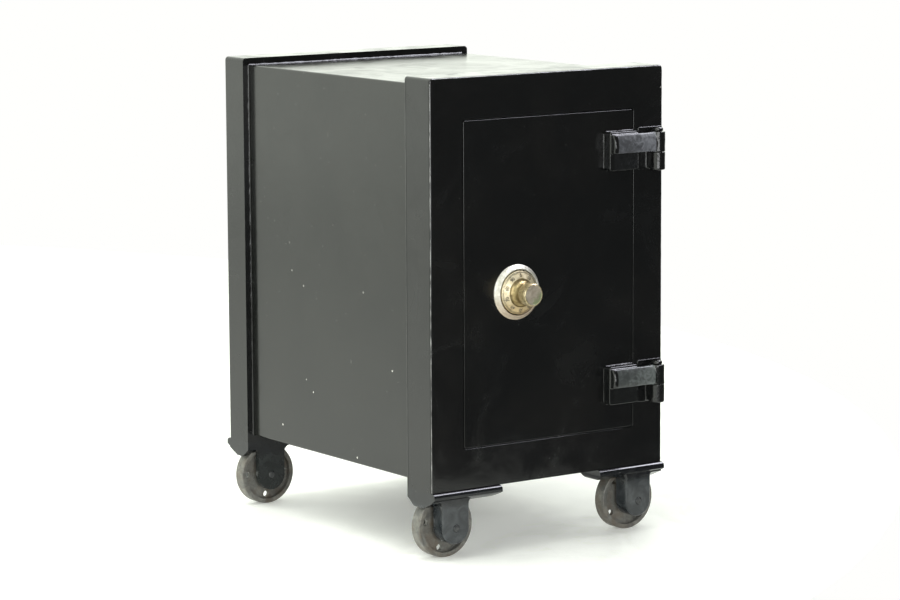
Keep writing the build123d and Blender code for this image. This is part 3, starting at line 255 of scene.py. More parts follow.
def shell_paint():
    """The enamel on the sheets: softer gloss, with white chips and pale upright scratches low down."""
    s = Surface("shell_paint")
    height = s.coordinate("Z")
    low = s.between(height, 0.42, 0.16)
    cloud = s.noise(7.0, 5.0, 0.6, distortion=0.6)
    base = s.mix(s.between(cloud, 0.35, 0.75), (0.0060, 0.0066, 0.0062), (0.0105, 0.0110, 0.0098))
    specks = s.dots(spacing=0.014, radius=0.00055, share=0.35)
    chips = s.math("MULTIPLY", s.dots(spacing=0.034, radius=0.0014, share=0.42, shift=0.37), low)
    short_scratches = s.streaks(spacing=0.015, width=0.00050, share=0.20, length=8.0)
    long_scratches = s.streaks(spacing=0.027, width=0.00065, share=0.22, length=14.0)
    scratches = s.math("MAXIMUM", short_scratches, long_scratches)
    scratches = s.math("MULTIPLY", scratches, s.between(height, 0.50, 0.20, 0.35, 1.0))
    base = s.mix(s.math("MULTIPLY", specks, 0.5), base, (0.30, 0.30, 0.29))
    base = s.mix(s.math("MULTIPLY", chips, 0.9), base, (0.62, 0.61, 0.57))
    base = s.mix(s.math("MULTIPLY", scratches, 0.40), base, (0.40, 0.40, 0.38))
    s.colour(base)
    marks = s.math("MAXIMUM", s.math("MAXIMUM", specks, chips), scratches)
    gloss = s.between(s.noise(16.0, 5.0, 0.65, distortion=0.8), 0.3, 0.8, 0.15, 0.25)
    s.roughness(s.math("MAXIMUM", gloss, s.math("MULTIPLY", marks, 0.5)))
    brush = s.bump(s.noise(1.0, 3.0, 0.6, s.stretched(40.0, 9.0, 30.0)), 0.00004)
    s.normal(s.bump(s.noise(380.0, 2.0), 0.000012, brush))
    return s.material


SHEEN_HEIGHT = 0.0152      # the straps' painted grey sheen starts this far in front of the front face
FADE = 0.004                # and has faded back to black paint this much nearer to it


def strap_paint(name, worn):
    """Paint on a hinge strap: black in the hollows, and a painted grey sheen, swirled and lighter to the
    right, where it stands proud.
    """
    s = Surface(name)
    depth = s.coordinate("Y")
    along = s.coordinate("X")
    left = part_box(name)[0][0]
    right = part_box(name)[1][0]
    # painted sheen: the strap's proud face, short of its ends, takes a grey sheen in place of a reflection
    sheen_face = s.between(depth, FRONT - SHEEN_HEIGHT, FRONT - SHEEN_HEIGHT + FADE, 1.0, 0.0)
    sheen_face = s.math("MULTIPLY", sheen_face, s.between(along, left + 0.0065, left + 0.0085))
    sheen_face = s.math("MULTIPLY", sheen_face, s.between(along, right - 0.0160, right - 0.0180))
    swirl = s.noise(95.0, 5.0, 0.6, distortion=2.2)
    # painted light: the sheen is lighter towards the right end and darker towards the left
    brighter = s.math("ADD", swirl, s.between(along, left + 0.02, right - 0.020, -0.10, 0.10))
    # worn is the grey of the painted sheen; dull and bright are its darker and lighter swirls
    dull = tuple(c * 0.5 for c in worn)
    bright = tuple(min(1.0, c * 1.7) for c in worn)
    sheen = s.mix(s.between(brighter, 0.35, 0.72), dull, bright)
    s.colour(s.mix(sheen_face, (0.0050, 0.0055, 0.0055), sheen))
    s.roughness(s.between(sheen_face, 0.0, 1.0, 0.16, 0.38))
    soft = s.bump(s.noise(130.0, 3.0, 0.55), 0.00022)
    s.normal(s.bump(s.noise(800.0, 2.0), 0.00002, soft))
    return s.material


def bracket_paint(name, grey_dark, grey_light):
    """Thick glossy paint on the caster brackets, with a painted grey reflection on the legs."""
    s = Surface(name)
    height = s.coordinate("Z")
    # painted reflection: the paint turns from black to grey low down on the legs, standing in for the floor
    # seen in the gloss
    leg = s.between(height, BASE - 0.012, BASE - 0.024)
    cloud = s.noise(55.0, 5.0, 0.6, distortion=1.0)
    dark = s.mix(s.between(cloud, 0.35, 0.7), (0.0045, 0.0052, 0.0062), (0.010, 0.011, 0.013))
    grey = s.mix(s.between(cloud, 0.35, 0.7), grey_dark, grey_light)
    base = s.mix(leg, dark, grey)
    specks = s.dots(spacing=0.008, radius=0.0005, share=0.30)
    s.colour(s.mix(s.math("MULTIPLY", specks, 0.6), base, (0.30, 0.30, 0.30)))
    s.roughness(s.between(s.noise(70.0, 4.0, 0.6), 0.3, 0.75, 0.10, 0.24))
    soft = s.bump(s.noise(90.0, 3.0, 0.5), 0.00020)
    s.normal(s.bump(s.noise(700.0, 2.0), 0.00002, soft))
    return s.material


def inner_paint():
    """Duller, thinner paint with pale rubs on the parts inside the safe."""
    s = Surface("inner_paint")
    cloud = s.noise(14.0, 5.0, 0.6)
    base = s.mix(s.between(cloud, 0.3, 0.75), (0.040, 0.042, 0.040), (0.062, 0.062, 0.056))
    rub = s.streaks(spacing=0.020, width=0.0006, share=0.25, length=7.0)
    s.colour(s.mix(s.math("MULTIPLY", rub, 0.4), base, (0.22, 0.21, 0.19)))
    s.roughness(s.between(s.noise(40.0, 4.0), 0.3, 0.7, 0.34, 0.5))
    s.normal(s.bump(s.noise(300.0, 3.0), 0.00004))
    return s.material


def painted_iron(name, dark, light, rough, lumps):
    """Thick paint over cast iron: soft lumps, brush marks and thin spots."""
    s = Surface(name)
    cloud = s.noise(60.0, 4.0, 0.6, distortion=0.6)
    specks = s.dots(spacing=0.006, radius=0.0006, share=0.4)
    base = s.mix(s.between(cloud, 0.35, 0.7), dark, light)
    s.colour(s.mix(s.math("MULTIPLY", specks, 0.6), base, (0.28, 0.28, 0.28)))
    s.roughness(s.between(s.noise(90.0, 4.0, 0.6), 0.3, 0.75, rough[0], rough[1]))
    soft = s.bump(s.noise(110.0, 3.0, 0.55), lumps)
    s.normal(s.bump(s.noise(700.0, 2.0), lumps * 0.08, soft))
    return s.material


def wheel_iron():
    """Worn cast iron: grey where it rubs, brown in the hollows."""
    s = Surface("wheel_iron")
    worn = s.between(s.noise(70.0, 5.0, 0.65, distortion=0.7), 0.35, 0.7)
    rust = s.between(s.noise(45.0, 4.0, 0.6), 0.42, 0.68)
    base = s.mix(worn, (0.085, 0.084, 0.078), (0.21, 0.205, 0.185))
    base = s.mix(s.math("MULTIPLY", rust, 0.6), base, (0.11, 0.082, 0.056))
    pits = s.dots(spacing=0.0035, radius=0.0005, share=0.5)
    s.colour(s.mix(pits, base, (0.04, 0.033, 0.026)))
    s.put(s.shader.inputs["Metallic"], s.between(worn, 0.0, 1.0, 0.10, 0.40))
    s.roughness(s.between(s.noise(160.0, 4.0), 0.3, 0.7, 0.32, 0.58))
    rough = s.bump(s.noise(350.0, 4.0, 0.6), 0.00008)
    s.normal(s.bump(pits, -0.00015, rough))
    return s.material


def turned_metal(name, dark, light, rough, metallic, patina=None, low=None):
    """A turned and handled metal, its own Z the turning axis: fine rings and cloudy tarnish.

    low is a colour of painted shade for its lower side, and patina a colour for stains on its lower right.
    """
    s = Surface(name, Metallic=metallic)
    tarnish = s.between(s.noise(160.0, 4.0, 0.6, distortion=0.5), 0.3, 0.75)
    base = s.mix(tarnish, light, dark)
    if low is not None:
        # painted shade: darker and browner towards the lower side
        base = s.mix(s.between(s.coordinate("Y"), 0.006, -0.026, 0.0, 0.75), base, low)
    if patina is not None:
        diagonal = s.math("SUBTRACT", s.coordinate("X"), s.coordinate("Y"))
        lower_right = s.between(diagonal, 0.000, 0.012)
        stain = s.between(s.noise(190.0, 5.0, 0.7), 0.40, 0.56, 0.0, 0.95)
        base = s.mix(s.math("MULTIPLY", stain, lower_right), base, patina)
    s.colour(base)
    s.roughness(s.between(s.noise(260.0, 3.0), 0.3, 0.7, rough[0], rough[1]))
    from_axis = s.add("ShaderNodeVectorMath", {0: s.stretched(1, 1, 0)}, operation="LENGTH")
    ring_number = s.math("MULTIPLY", from_axis.outputs["Value"], 3200.0)
    rings = s.noise(1.0, 2.0, 0.6, s.add("ShaderNodeCombineXYZ", {0: ring_number}).outputs[0])
    s.normal(s.bump(rings, 0.000010))
    return s.material


def plain_metal(name, dark, light, metallic, rough, grain):
    """An even metal or ink, mottled between two colours, with a fine grain."""
    s = Surface(name, Metallic=metallic)
    s.colour(s.mix(s.between(s.noise(80.0, 4.0, 0.6), 0.3, 0.7), dark, light))
    s.roughness(s.between(s.noise(200.0, 3.0), 0.3, 0.7, rough[0], rough[1]))
    s.normal(s.bump(s.noise(500.0, 3.0), grain))
    return s.material


def fire_cement():
    """Pale, rough cement."""
    s = Surface("fire_cement")
    s.colour(s.mix(s.between(s.noise(35.0, 6.0, 0.65), 0.3, 0.7), (0.50, 0.47, 0.41), (0.68, 0.65, 0.58)))
    s.roughness(s.between(s.noise(90.0, 3.0), 0.3, 0.7, 0.8, 0.95))
    s.normal(s.bump(s.noise(180.0, 5.0, 0.65), 0.0006))
    return s.material


def floor_paper():
    """A pale floor with a faint marbled grey figure."""
    s = Surface("floor")
    veins = s.noise(7.0, 6.0, 0.62, distortion=1.8)
    patches = s.between(s.noise(2.2, 3.0, 0.5), 0.42, 0.62)
    marbling = s.math("MULTIPLY", s.between(veins, 0.46, 0.60), patches)
    s.colour(s.mix(s.math("MULTIPLY", marbling, 0.55), (0.86, 0.87, 0.85), (0.66, 0.67, 0.65)))
    s.roughness(s.between(s.noise(30.0, 3.0), 0.3, 0.7, 0.55, 0.75))
    s.normal(s.bump(veins, 0.0015))
    s.shader.inputs["Emission Color"].default_value = (1.0, 1.0, 0.96, 1)
    s.shader.inputs["Emission Strength"].default_value = 0.20
    return s.material


MATERIALS = {
    "black_paint": black_paint(),
    "inner_paint": inner_paint(),
    "painted_screws": painted_iron("painted_screws", dark=(0.010, 0.010, 0.011), light=(0.022, 0.022, 0.022),
                                   rough=(0.2, 0.4), lumps=0.0002),
    # greys of the legs' painted reflection
    "bracket_iron": bracket_paint("bracket_paint", (0.018, 0.021, 0.024), (0.046, 0.051, 0.055)),
    "wheel_iron": wheel_iron(),
    "bare_steel": plain_metal("bare_steel", dark=(0.32, 0.31, 0.30), light=(0.55, 0.54, 0.52), metallic=1.0,
                              rough=(0.25, 0.4), grain=0.00003),
    # low colours on the ring and the dial are painted shade on their lower sides
    "nickel": turned_metal("nickel", dark=(0.50, 0.48, 0.42), light=(0.80, 0.78, 0.71), rough=(0.38, 0.52),
                           metallic=0.45, low=(0.46, 0.34, 0.22)),
    "dial_brass": turned_metal("dial_brass", dark=(0.52, 0.43, 0.25), light=(0.80, 0.71, 0.50),
                               rough=(0.36, 0.52), metallic=0.55, low=(0.42, 0.28, 0.11)),
    "knob_brass": turned_metal("knob_brass", dark=(0.40, 0.32, 0.17), light=(0.68, 0.58, 0.37),
                               rough=(0.26, 0.42), metallic=0.75),
    "lock_brass": turned_metal("lock_brass", dark=(0.50, 0.38, 0.19), light=(0.70, 0.56, 0.30),
                               rough=(0.25, 0.4), metallic=1.0),
    "lock_case_iron": plain_metal("lock_case_iron", dark=(0.07, 0.07, 0.07), light=(0.14, 0.14, 0.135),
                                  metallic=0.6, rough=(0.5, 0.7), grain=0.0001),
    "fire_cement": fire_cement(),
}
# painted shade: a darker copy of the bracket paint for the rear brackets, under the safe
SHADED_REAR_BRACKET = bracket_paint("rear_bracket_shaded_paint", (0.009, 0.011, 0.011), (0.020, 0.023, 0.023))
AXLE_PAINT = painted_iron("axle_paint", dark=(0.020, 0.022, 0.024), light=(0.060, 0.062, 0.062),
                          rough=(0.12, 0.30), lumps=0.0005)
# pale patches on the front face's edge ridges: partly paint worn through, partly painted highlight
EDGE_PAINT = painted_iron("edge_paint", dark=(0.060, 0.060, 0.060), light=(0.340, 0.340, 0.335),
                          rough=(0.10, 0.22), lumps=0.0002)
KNOB_FACE = turned_metal("knob_face", dark=(0.33, 0.28, 0.22), light=(0.55, 0.48, 0.39), rough=(0.34, 0.5),
                         metallic=0.5, patina=(0.27, 0.31, 0.17))
# low: painted shade on the hub's lower side
DIAL_HUB = turned_metal("dial_hub", dark=(0.21, 0.155, 0.065), light=(0.42, 0.335, 0.17), rough=(0.30, 0.44),
                        metallic=0.85, low=(0.20, 0.13, 0.045))
DIAL_INK = plain_metal("dial_ink", dark=(0.012, 0.011, 0.010), light=(0.035, 0.030, 0.024), metallic=0.0,
                       rough=(0.45, 0.6), grain=0.00002)

# nodes that look different from the rest of their slot
NODE_FINISHES = {
    "outer_shell": shell_paint(),
    # the greys of the straps' painted sheen
    "upper_hinge_strap": strap_paint("upper_hinge_strap", (0.100, 0.103, 0.116)),
    "lower_hinge_strap": strap_paint("lower_hinge_strap", (0.070, 0.077, 0.077)),
}
for hand in ("left", "right"):
    NODE_FINISHES[f"rear_{hand}_bracket"] = SHADED_REAR_BRACKET
    NODE_FINISHES[f"rear_{hand}_axle"] = AXLE_PAINT
    NODE_FINISHES[f"front_{hand}_axle"] = AXLE_PAINT


def paint_nodes():
    """Every carried-over CAD node takes its own finish, or else its record slot's material."""
    for row in frame["record"]["subparts"]:
        node = NODES[row["node"]]
        node.data.materials.clear()
        node.data.materials.append(NODE_FINISHES.get(row["node"], MATERIALS[row["material_slot"]]))


# ---------------------------------------------------------------- softened castings
def soften(node_name, voxel, passes, lumps, grain):
    """Round a casting's edges and give its skin soft lumps, mostly inwards, of that size and grain."""
    node = NODES[node_name]
    remesh = node.modifiers.new("skin", "REMESH")
    remesh.mode = "VOXEL"
    remesh.voxel_size = voxel
    remesh.use_smooth_shade = True
    smooth = node.modifiers.new("round", "SMOOTH")
    smooth.iterations = passes
    smooth.factor = 0.5
    clouds = bpy.data.textures.new(f"{node_name}_lumps", "CLOUDS")
    clouds.noise_scale = grain
    clouds.noise_depth = 2
    displace = node.modifiers.new("lumps", "DISPLACE")
    displace.texture = clouds
    displace.texture_coords = "LOCAL"
    displace.strength = lumps
    displace.mid_level = 0.75


def soften_castings():
    for corner in ("front_left", "front_right", "rear_left", "rear_right"):
        soften(f"{corner}_axle", voxel=0.0006, passes=14, lumps=0.0006, grain=0.005)
    for level in ("upper", "lower"):
        soften(f"{level}_hinge_strap", voxel=0.0007, passes=3, lumps=0.0007, grain=0.010)
        soften(f"{level}_hinge_leaf", voxel=0.0007, passes=3, lumps=0.0006, grain=0.009)
        soften(f"{level}_hinge_pin", voxel=0.0006, passes=4, lumps=0.0006, grain=0.006)


def bevel_edges():
    """A small worn round on the wheels' edges."""
    for end in ("front", "rear"):
        for side in ("left", "right"):
            bevel = NODES[f"{end}_{side}_wheel"].modifiers.new("worn_edge", "BEVEL")
            bevel.width = 0.0009
            bevel.segments = 3
            bevel.limit_method = "ANGLE"
            bevel.angle_limit = math.radians(40)


# ---------------------------------------------------------------- pieces of our own
def mesh_from(bm, name):
    """The mesh of a finished bmesh."""
    mesh = bpy.data.meshes.new(name)
    bm.to_mesh(mesh)
    bm.free()
    return mesh


def add_piece(name, mesh, materials):
    piece = bpy.data.objects.new(name, mesh)
    bpy.context.scene.collection.objects.link(piece)
    for material in materials:
        mesh.materials.append(material)
    return piece


def shade(mesh, sharp_degrees):
    mesh.shade_smooth()
    mesh.set_sharp_from_angle(angle=math.radians(sharp_degrees))


def lathe(profile, segments, radius_at=None):
    """A mesh turned about Z from (radius, height) points in mm.

    radius_at(number, step, radius) may change the radius of one point at one step of the turn.
    """
    bm = bmesh.new()
    rings = []
    for number, (radius, height) in enumerate(profile):
        ring = []
        for step in range(segments):
            turn = 2 * math.pi * step / segments
            r = radius_at(number, step, radius) if radius_at else radius
            ring.append(bm.verts.new((r * math.cos(turn) * MM, r * math.sin(turn) * MM, height * MM)))
        rings.append(ring)
    for low, high in zip(rings, rings[1:]):
        for step in range(segments):
            after = (step + 1) % segments
            bm.faces.new((low[step], low[after], high[after], high[step]))
    return mesh_from(bm, "lathe")


def rounded_corner(before, corner, after, radius, steps=4):
    """Points of a small round at a corner of a profile."""
    c = Vector(corner)
    start = c + (Vector(before) - c).normalized() * radius
    end = c + (Vector(after) - c).normalized() * radius
    points = []
    for step in range(steps + 1):
        t = step / steps
        points.append(tuple(start * (1 - t) ** 2 + c * 2 * t * (1 - t) + end * t ** 2))
    return points


def rounded_profile(points, radii):
    """The profile with each inner corner rounded by its own radius."""
    profile = [points[0]]
    for index in range(1, len(points) - 1):
        if radii[index] > 0:
            profile += rounded_corner(points[index - 1], points[index], points[index + 1], radii[index])
        else:
            profile.append(points[index])
    return profile + [points[-1]]


# ---------------------------------------------------------------- dial and knob, in mm on the dial's axis
DIAL_LOW, DIAL_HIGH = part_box("dial")
DIAL_CENTRE = Vector(((DIAL_LOW[0] + DIAL_HIGH[0]) / 2, FRONT, (DIAL_LOW[2] + DIAL_HIGH[2]) / 2))
ON_DIAL = Matrix.Translation(DIAL_CENTRE) @ Matrix.Rotation(math.pi / 2, 4, "X")
TURNED_SEGMENTS = 160

RING_CLEARANCE = 1.1        # from the dial's radius to the ring
RING_LIP = 1.2              # width of the rolled inner lip
RING_EDGE = 1.4             # width of the rounded outer edge
RING_SHOULDER = 2.2         # height at which the slope meets that edge
INDEX_WIDTH = 0.45
INDEX_LENGTH = 2.6

BAR_SINK = 0.12             # how far a raised bar's base lies under the surface
BAR_RISE = 0.05             # and its flat top above it

DIAL_TRIM = 0.4             # taken off the dial's radius, for a dark gap inside the ring
HUB_RADIUS = 17.5
HUB_RISE = 10.5
HUB_FLOOR = 5.0             # nothing under this height belongs to the hub
NECK_FLARE = 6.6            # how far the neck draws in from the hub
NECK_STEPS = 12
NECK_RADIUS = 10.4
BORE_RADIUS = 4.5

TEN_MARK = (3.4, 0.85)      # length and width of a division at the tens
UNIT_MARK = (2.3, 0.62)     # and of the others
MARK_MARGIN = 0.75          # from the dial's rim to the divisions
DIVISIONS = 100
NUMBERS_RADIUS = 20.5
NUMBER_HEIGHT = 5.6
NUMBER_THICKNESS = 0.05
NUMBER_BOLDNESS = 0.10

KNURL_RIDGES = 72
KNURL_DEPTH = 0.45
KNURL_FLANK = 0.12


def height_of(node_name):
    """How far a node stands in front of the front face, in mm."""
    return (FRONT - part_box(node_name)[0][1]) / MM


def radius_of(node_name):
    low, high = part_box(node_name)
    return (high[0] - low[0]) / 2 / MM


def place_turned(piece, body, replaced=None):
    piece.matrix_world = ON_DIAL
    if replaced is not None:
        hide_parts(replaced)
    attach(piece, body)


def paint_middle(mesh, radius, height):
    """Give the second material to the faces inside that radius and above that height, in mm."""
    for face in mesh.polygons:
        x, y, z = face.center
        face.material_index = int(z > height * MM and Vector((x, y)).length < radius * MM)


def add_bar(bm, middle, across, along, width, length):
    """A thin raised bar in mm: a flat top with sloping ends and sides."""
    up = across.cross(along).normalized()
    low = []
    high = []
    for sx, sy in ((-1, -1), (1, -1), (1, 1), (-1, 1)):
        edge = middle + across * sx * width / 2 + along * sy * length / 2
        inset = middle + across * sx * width * 0.46 + along * sy * (length / 2 - width * 0.14)
        low.append(bm.verts.new((edge - up * BAR_SINK) * MM))
        high.append(bm.verts.new((inset + up * BAR_RISE) * MM))
    bm.faces.new(high)
    for index in range(4):
        after = (index + 1) % 4
        bm.faces.new((low[index], low[after], high[after], high[index]))


def make_dial_ring():
    """The fixed ring: a sloping nickel collar with a rolled inner lip, and its index mark at the top."""
    outer = radius_of("dial_ring")
    top = height_of("dial_ring")
    inner = radius_of("dial") + RING_CLEARANCE
    shoulder = outer - RING_EDGE
    points = [(inner, 0.0), (inner, top - 0.5), (inner + RING_LIP, top), (shoulder, RING_SHOULDER),
              (outer, RING_SHOULDER / 2), (outer, 0.0)]
    mesh = lathe(rounded_profile(points, (0, 0.35, 0.8, 0.9, 0.4, 0)), TURNED_SEGMENTS)
    shade(mesh, 60.0)
    piece = add_piece("dial_ring_look", mesh, [MATERIALS["nickel"]])
    place_turned(piece, "door", "dial_ring")
    mark = bmesh.new()
    slope = Vector((0, shoulder - inner - RING_LIP, RING_SHOULDER - top)).normalized()
    middle = Vector((0, (inner + outer) / 2, (top + RING_SHOULDER) / 2 + 0.35))
    add_bar(mark, middle, Vector((1, 0, 0)), slope, INDEX_WIDTH, INDEX_LENGTH)
    place_turned(add_piece("index_mark", mesh_from(mark, "index_mark"), [DIAL_INK]), "door")


def cone_frame(radius, turn):
    """Frame on the dial's cone: X across, Y outwards down the slope, Z off the surface. In mm."""
    rim = radius_of("dial")
    drop = (HUB_RISE - height_of("dial_ring")) / (rim - HUB_RADIUS)
    height = HUB_RISE - (radius - HUB_RADIUS) * drop
    outwards = Vector((math.cos(turn), math.sin(turn), -drop)).normalized()
    across = Vector((math.sin(turn), -math.cos(turn), 0))
    off = across.cross(outwards)
    place = Matrix((across, outwards, off)).transposed().to_4x4()
    spot = Vector((radius * math.cos(turn), radius * math.sin(turn), height))
    return Matrix.Translation(spot) @ place


def turn_of(number):
    """The angle of a number on the dial: 0 at the top, and the others clockwise."""
    return math.pi / 2 - 2 * math.pi * number / DIVISIONS


def make_dial():
    """The turning dial: a shallow cone, a step and a flared neck under the knob."""
    rim = radius_of("dial") - DIAL_TRIM
    neck_top = height_of("dial")
    points = [(rim - 1.0, 0.9), (rim, 1.8), (rim, height_of("dial_ring")),
              (HUB_RADIUS + 0.6, HUB_RISE - 0.25), (HUB_RADIUS, HUB_RISE)]
    profile = rounded_profile(points, (0, 0.3, 0.35, 0.25, 0))
    for step in range(1, NECK_STEPS + 1):
        turn = math.pi / 2 * step / NECK_STEPS
        radius = HUB_RADIUS - NECK_FLARE * math.sin(turn)
        profile.append((radius, HUB_RISE + (neck_top - HUB_RISE - 1.5) * (1 - math.cos(turn))))
    profile += [(NECK_RADIUS + 0.1, neck_top - 0.7), (NECK_RADIUS, neck_top), (BORE_RADIUS, neck_top)]
    mesh = lathe(profile, TURNED_SEGMENTS)
    shade(mesh, 50.0)
    piece = add_piece("dial_look", mesh, [MATERIALS["dial_brass"], DIAL_HUB])
    paint_middle(mesh, HUB_RADIUS - 0.1, HUB_FLOOR)
    place_turned(piece, "dial", "dial")


def make_dial_marks():
    """A hundred division lines, longer and wider at the tens."""
    rim = radius_of("dial")
    bm = bmesh.new()
    for number in range(DIVISIONS):
        length, width = TEN_MARK if number % 10 == 0 else UNIT_MARK
        here = cone_frame(rim - MARK_MARGIN - length / 2, turn_of(number))
        across = here.to_3x3() @ Vector((1, 0, 0))
        along = here.to_3x3() @ Vector((0, 1, 0))
        add_bar(bm, here.translation, across, along, width, length)
    mesh = mesh_from(bm, "dial_divisions")
    place_turned(add_piece("dial_divisions", mesh, [DIAL_INK]), "dial")


def make_dial_numbers():
    """The tens from 0 to 90, read with their feet towards the knob."""
    bm = bmesh.new()
    for number in range(0, DIVISIONS, 10):
        curve = bpy.data.curves.new("number", "FONT")
        curve.body = str(number)
        curve.align_x = "CENTER"
        curve.align_y = "CENTER"
        curve.size = NUMBER_HEIGHT
        curve.extrude = NUMBER_THICKNESS
        curve.offset = NUMBER_BOLDNESS
        word = bpy.data.objects.new("number", curve)
        flat = bpy.data.meshes.new_from_object(word)
        flat.transform(Matrix.Scale(MM, 4) @ cone_frame(NUMBERS_RADIUS, turn_of(number)))
        bm.from_mesh(flat)
        bpy.data.meshes.remove(flat)
        bpy.data.objects.remove(word)
        bpy.data.curves.remove(curve)
    mesh = mesh_from(bm, "dial_numbers")
    place_turned(add_piece("dial_numbers", mesh, [DIAL_INK]), "dial")


def knurled(number, step, radius):
    """The knob's profile points 4 and 5 carry the knurl: crests with flanks and grooves between them."""
    if number not in (4, 5):
        return radius
    return radius - KNURL_DEPTH * (step % 4 == 0) - KNURL_FLANK * (step % 4 != 2)


def make_knob():
    """The knob: a knurled side between two smooth bands, and a flat worn face inside a bright rim."""
    radius = radius_of("knob")
    face_radius = radius - 2.0
    top = height_of("knob")
    bottom = (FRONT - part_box("knob")[1][1]) / MM
    back = [(BORE_RADIUS, bottom), (radius - 2.6, bottom),
            (radius - 0.6, bottom + 1.8), (radius - 0.6, bottom + 2.6)]
    knurl = [(radius, bottom + 3.0), (radius, top - 2.2)]
    front = [(radius - 0.5, top - 1.8), (radius - 0.5, top - 0.5), (radius - 1.1, top), (face_radius, top),
             (radius - 2.3, top - 0.35), (0.02, top - 0.25)]
    mesh = lathe(back + knurl + front, KNURL_RIDGES * 4, knurled)
    shade(mesh, 30.0)
    piece = add_piece("knob_look", mesh, [MATERIALS["knob_brass"], KNOB_FACE])
    paint_middle(mesh, face_radius, top - 0.6)
    place_turned(piece, "dial", "knob")


# ---------------------------------------------------------------- paint that gathered on corners and edges
LEFT, RIGHT = (-1, 0, 0), (1, 0, 0)
FORWARDS, BACKWARDS = (0, -1, 0), (0, 1, 0)
DOWN, UP = (0, 0, -1), (0, 0, 1)

BEAD_SIZE = 0.0019
HINGE_BEAD_SIZE = 0.0014
HINGE_CORNER = 0.003        # beads stop this far short of a hinge strap's left corners
FACE_RIDGE = {"radius": 0.0026, "spread": 0.34, "rise": 0.00016}
STEP_RIDGE = {"radius": 0.0003, "spread": 2.0, "rise": 0.00016}
STEP_LIP = {"width": 0.0028, "rise": 0.00032}
BASE_GAP = 0.001            # ridges stop this far above the base
CORNER_GAP = 0.006          # and this far short of the bands' upper corners
SKIN_GAP = 0.00002          # beads start this far off their surface, and lips this far under it
RIDGE_SINK = 0.00003        # how far a ridge's sides start under the edge's round


def spots_along(start, end, spacing):
    """Points spaced evenly along a line, with both its ends."""
    line = Vector(end) - Vector(start)
    count = max(2, int(line.length / spacing))
    return [Vector(start) + line * index / count for index in range(count + 1)]


def wander(here, coarse, fine, seed):
    """A smooth unevenness about 0 that depends only on the place and the seed."""
    broad = noise.noise(here * coarse + Vector((seed, 0, 0)))
    return broad + 0.6 * noise.noise(here * fine + Vector((0, seed, 0)))


def join_rows(bm, rows, flipped):
    """Faces between each row of vertices and the next."""
    for low, high in zip(rows, rows[1:]):
        for step in range(len(low) - 1):
            corners = (low[step], low[step + 1], high[step + 1], high[step])
            bm.faces.new(corners[::-1] if flipped else corners)


def right_handed(start, end, one, other):
    """Whether the line's direction, one and other make a right-handed set."""
    return (Vector(end) - Vector(start)).cross(one).dot(other) > 0


def add_bead(bm, start, end, one, other, size, seed):
    """A hollow, uneven fillet of paint along a corner line, reaching along the surfaces one and other."""
    one, other = Vector(one), Vector(other)
    rows = []
    for here in spots_along(start, end, 0.0035):
        reach = size * max(0.25, 1.0 + 0.9 * wander(here, 90, 260, seed))
        lift = size * max(0.25, 1.0 + noise.noise(here * 120 + Vector((0, 0, seed))))
        row = []
        for step in range(6):
            t = step / 5
            along_one = reach * (1 - t) ** 2.0
            along_other = lift * t ** 2.0
            row.append(bm.verts.new(here + one * (along_one + SKIN_GAP) + other * (along_other + SKIN_GAP)))
        rows.append(row)
    join_rows(bm, rows, not right_handed(start, end, one, other))


def add_ridge(bm, start, end, one, other, radius, spread, rise, seed):
    """A thin uneven ridge of paint along an outer edge of that radius, between the faces one and other."""
    one, other = Vector(one), Vector(other)
    rows = []
    for here in spots_along(start, end, 0.003):
        centre = here - (one + other) * radius
        uneven = wander(here, 80, 300, seed)
        row = []
        for step in range(7):
            t = step / 6
            turn = math.pi / 4 + (t - 0.5) * spread * (1 + 0.5 * uneven)
            reach = radius - RIDGE_SINK + rise * math.sin(math.pi * t) * max(0.3, 1 + uneven)
            row.append(bm.verts.new(centre + (one * math.cos(turn) + other * math.sin(turn)) * reach))
        rows.append(row)
    join_rows(bm, rows, right_handed(start, end, one, other))


def add_lip(bm, start, end, one, other, width, rise, seed):
    """A low swelling on the face one, just inside its sharp edge towards other."""
    one, other = Vector(one), Vector(other)
    rows = []
    for here in spots_along(start, end, 0.004):
        swell = rise * max(0.4, 1 + 0.5 * noise.noise(here * 60 + Vector((seed, 0, 0))))
        row = []
        for step in range(9):
            t = step / 8
            lift = swell * math.sin(math.pi * t) - SKIN_GAP
            row.append(bm.verts.new(here - other * width * (1 - t) + one * lift))
        rows.append(row)
    join_rows(bm, rows, right_handed(start, end, one, other))


def paint_piece(name, bm, material):
    mesh = mesh_from(bm, name)
    mesh.shade_smooth()
    return add_piece(name, mesh, [material])


def make_beads():
    """Fillets of paint where the sheets meet the bands."""
    bm = bmesh.new()
    low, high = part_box("outer_shell")
    band_ends = ((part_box("front_frame")[1][1], BACKWARDS), (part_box("rear_frame")[0][1], FORWARDS))
    for number, (y, inwards) in enumerate(band_ends):
        seed = 11.3 * (number + 1)
        for x, out in ((low[0], LEFT), (high[0], RIGHT)):
            add_bead(bm, (x, y, low[2]), (x, y, high[2]), inwards, out, BEAD_SIZE, seed)
        for z, out in ((low[2], DOWN), (high[2], UP)):
            add_bead(bm, (low[0], y, z), (high[0], y, z), inwards, out, BEAD_SIZE, seed + 3)
    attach(paint_piece("corner_paint", bm, MATERIALS["black_paint"]), "safe_body")


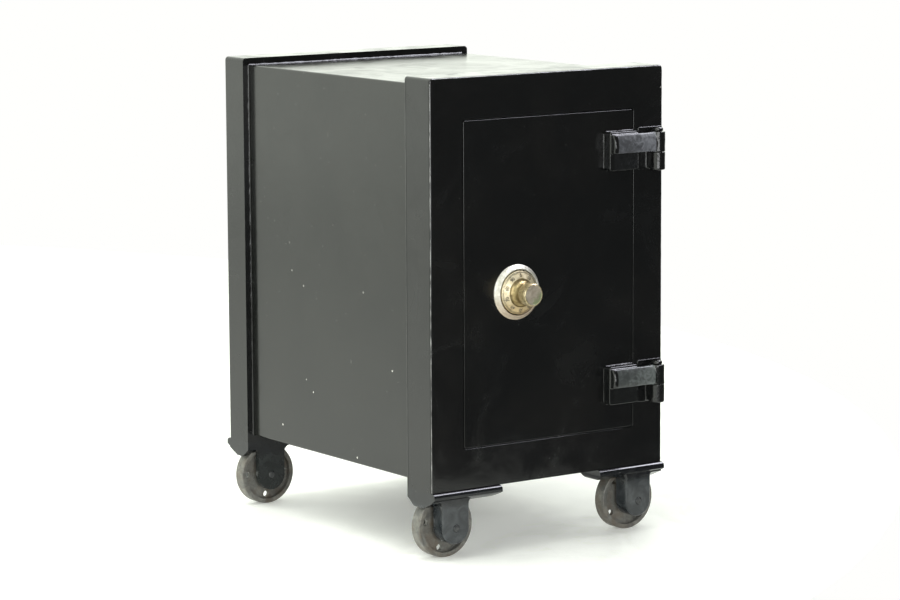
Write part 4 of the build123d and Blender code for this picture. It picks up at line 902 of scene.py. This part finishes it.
def make_hinge_beads():
    """Fillets of paint above, below and to the left of each hinge strap, as far as the door's edge."""
    bm = bmesh.new()
    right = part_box("door_plate")[1][0] - 0.0006
    for number, level in enumerate(("upper", "lower")):
        low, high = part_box(f"{level}_hinge_strap")
        left = low[0]
        for z, out in ((low[2], DOWN), (high[2], UP)):
            start = (left + HINGE_CORNER, FRONT, z)
            add_bead(bm, start, (right, FRONT, z), out, FORWARDS, HINGE_BEAD_SIZE, 4.0 + number)
        start = (left, FRONT, low[2] + HINGE_CORNER)
        end = (left, FRONT, high[2] - HINGE_CORNER)
        add_bead(bm, start, end, LEFT, FORWARDS, HINGE_BEAD_SIZE, 8.0)
    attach(paint_piece("hinge_corner_paint", bm, MATERIALS["black_paint"]), "door")


def make_edge_ridges():
    """Ridges where the paint has built up along the bands' outer edges; the pale patches on the front face's
    ridges are partly worn through and partly painted highlight.
    """
    low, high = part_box("front_frame")
    step_front = high[1]
    rear_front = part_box("rear_frame")[0][1]
    bottom = BASE + BASE_GAP
    top = high[2]
    face_edges = bmesh.new()
    step_edges = bmesh.new()
    places = (FRONT, step_front, rear_front)
    for x, out in ((low[0], LEFT), (high[0], RIGHT)):
        face, step, rear = [((x, y, bottom), (x, y, top - CORNER_GAP)) for y in places]
        add_ridge(face_edges, *face, out, FORWARDS, **FACE_RIDGE, seed=2.0 + x)
        add_lip(step_edges, *step, out, BACKWARDS, **STEP_LIP, seed=5.0 + x)
        add_ridge(step_edges, *rear, out, FORWARDS, **STEP_RIDGE, seed=7.0 + x)
    left, right = (low[0] + CORNER_GAP, FRONT, top), (high[0] - CORNER_GAP, FRONT, top)
    add_ridge(face_edges, left, right, UP, FORWARDS, **FACE_RIDGE, seed=9.0)
    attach(paint_piece("face_edge_paint", face_edges, EDGE_PAINT), "safe_body")
    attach(paint_piece("step_edge_paint", step_edges, MATERIALS["black_paint"]), "safe_body")


# ---------------------------------------------------------------- floor
FLOOR_RADIUS = 2.33
FLOOR_CENTRE = (-1.1, 1.4, 0)       # behind the safe and to its left


def make_floor():
    bm = bmesh.new()
    bmesh.ops.create_circle(bm, cap_ends=True, segments=96, radius=FLOOR_RADIUS)
    bmesh.ops.translate(bm, verts=bm.verts, vec=FLOOR_CENTRE)
    mesh = mesh_from(bm, "floor")
    floor = bpy.data.objects.new("floor", mesh)
    bpy.context.scene.collection.objects.link(floor)
    mesh.materials.append(floor_paper())


make_camera()
make_world()
make_lights()
make_floor()
paint_nodes()
soften_castings()
bevel_edges()
make_dial_ring()
make_dial()
make_dial_marks()
make_dial_numbers()
make_knob()
make_beads()
make_hinge_beads()
make_edge_ridges()
bpy.context.scene.view_settings.view_transform = "Standard"
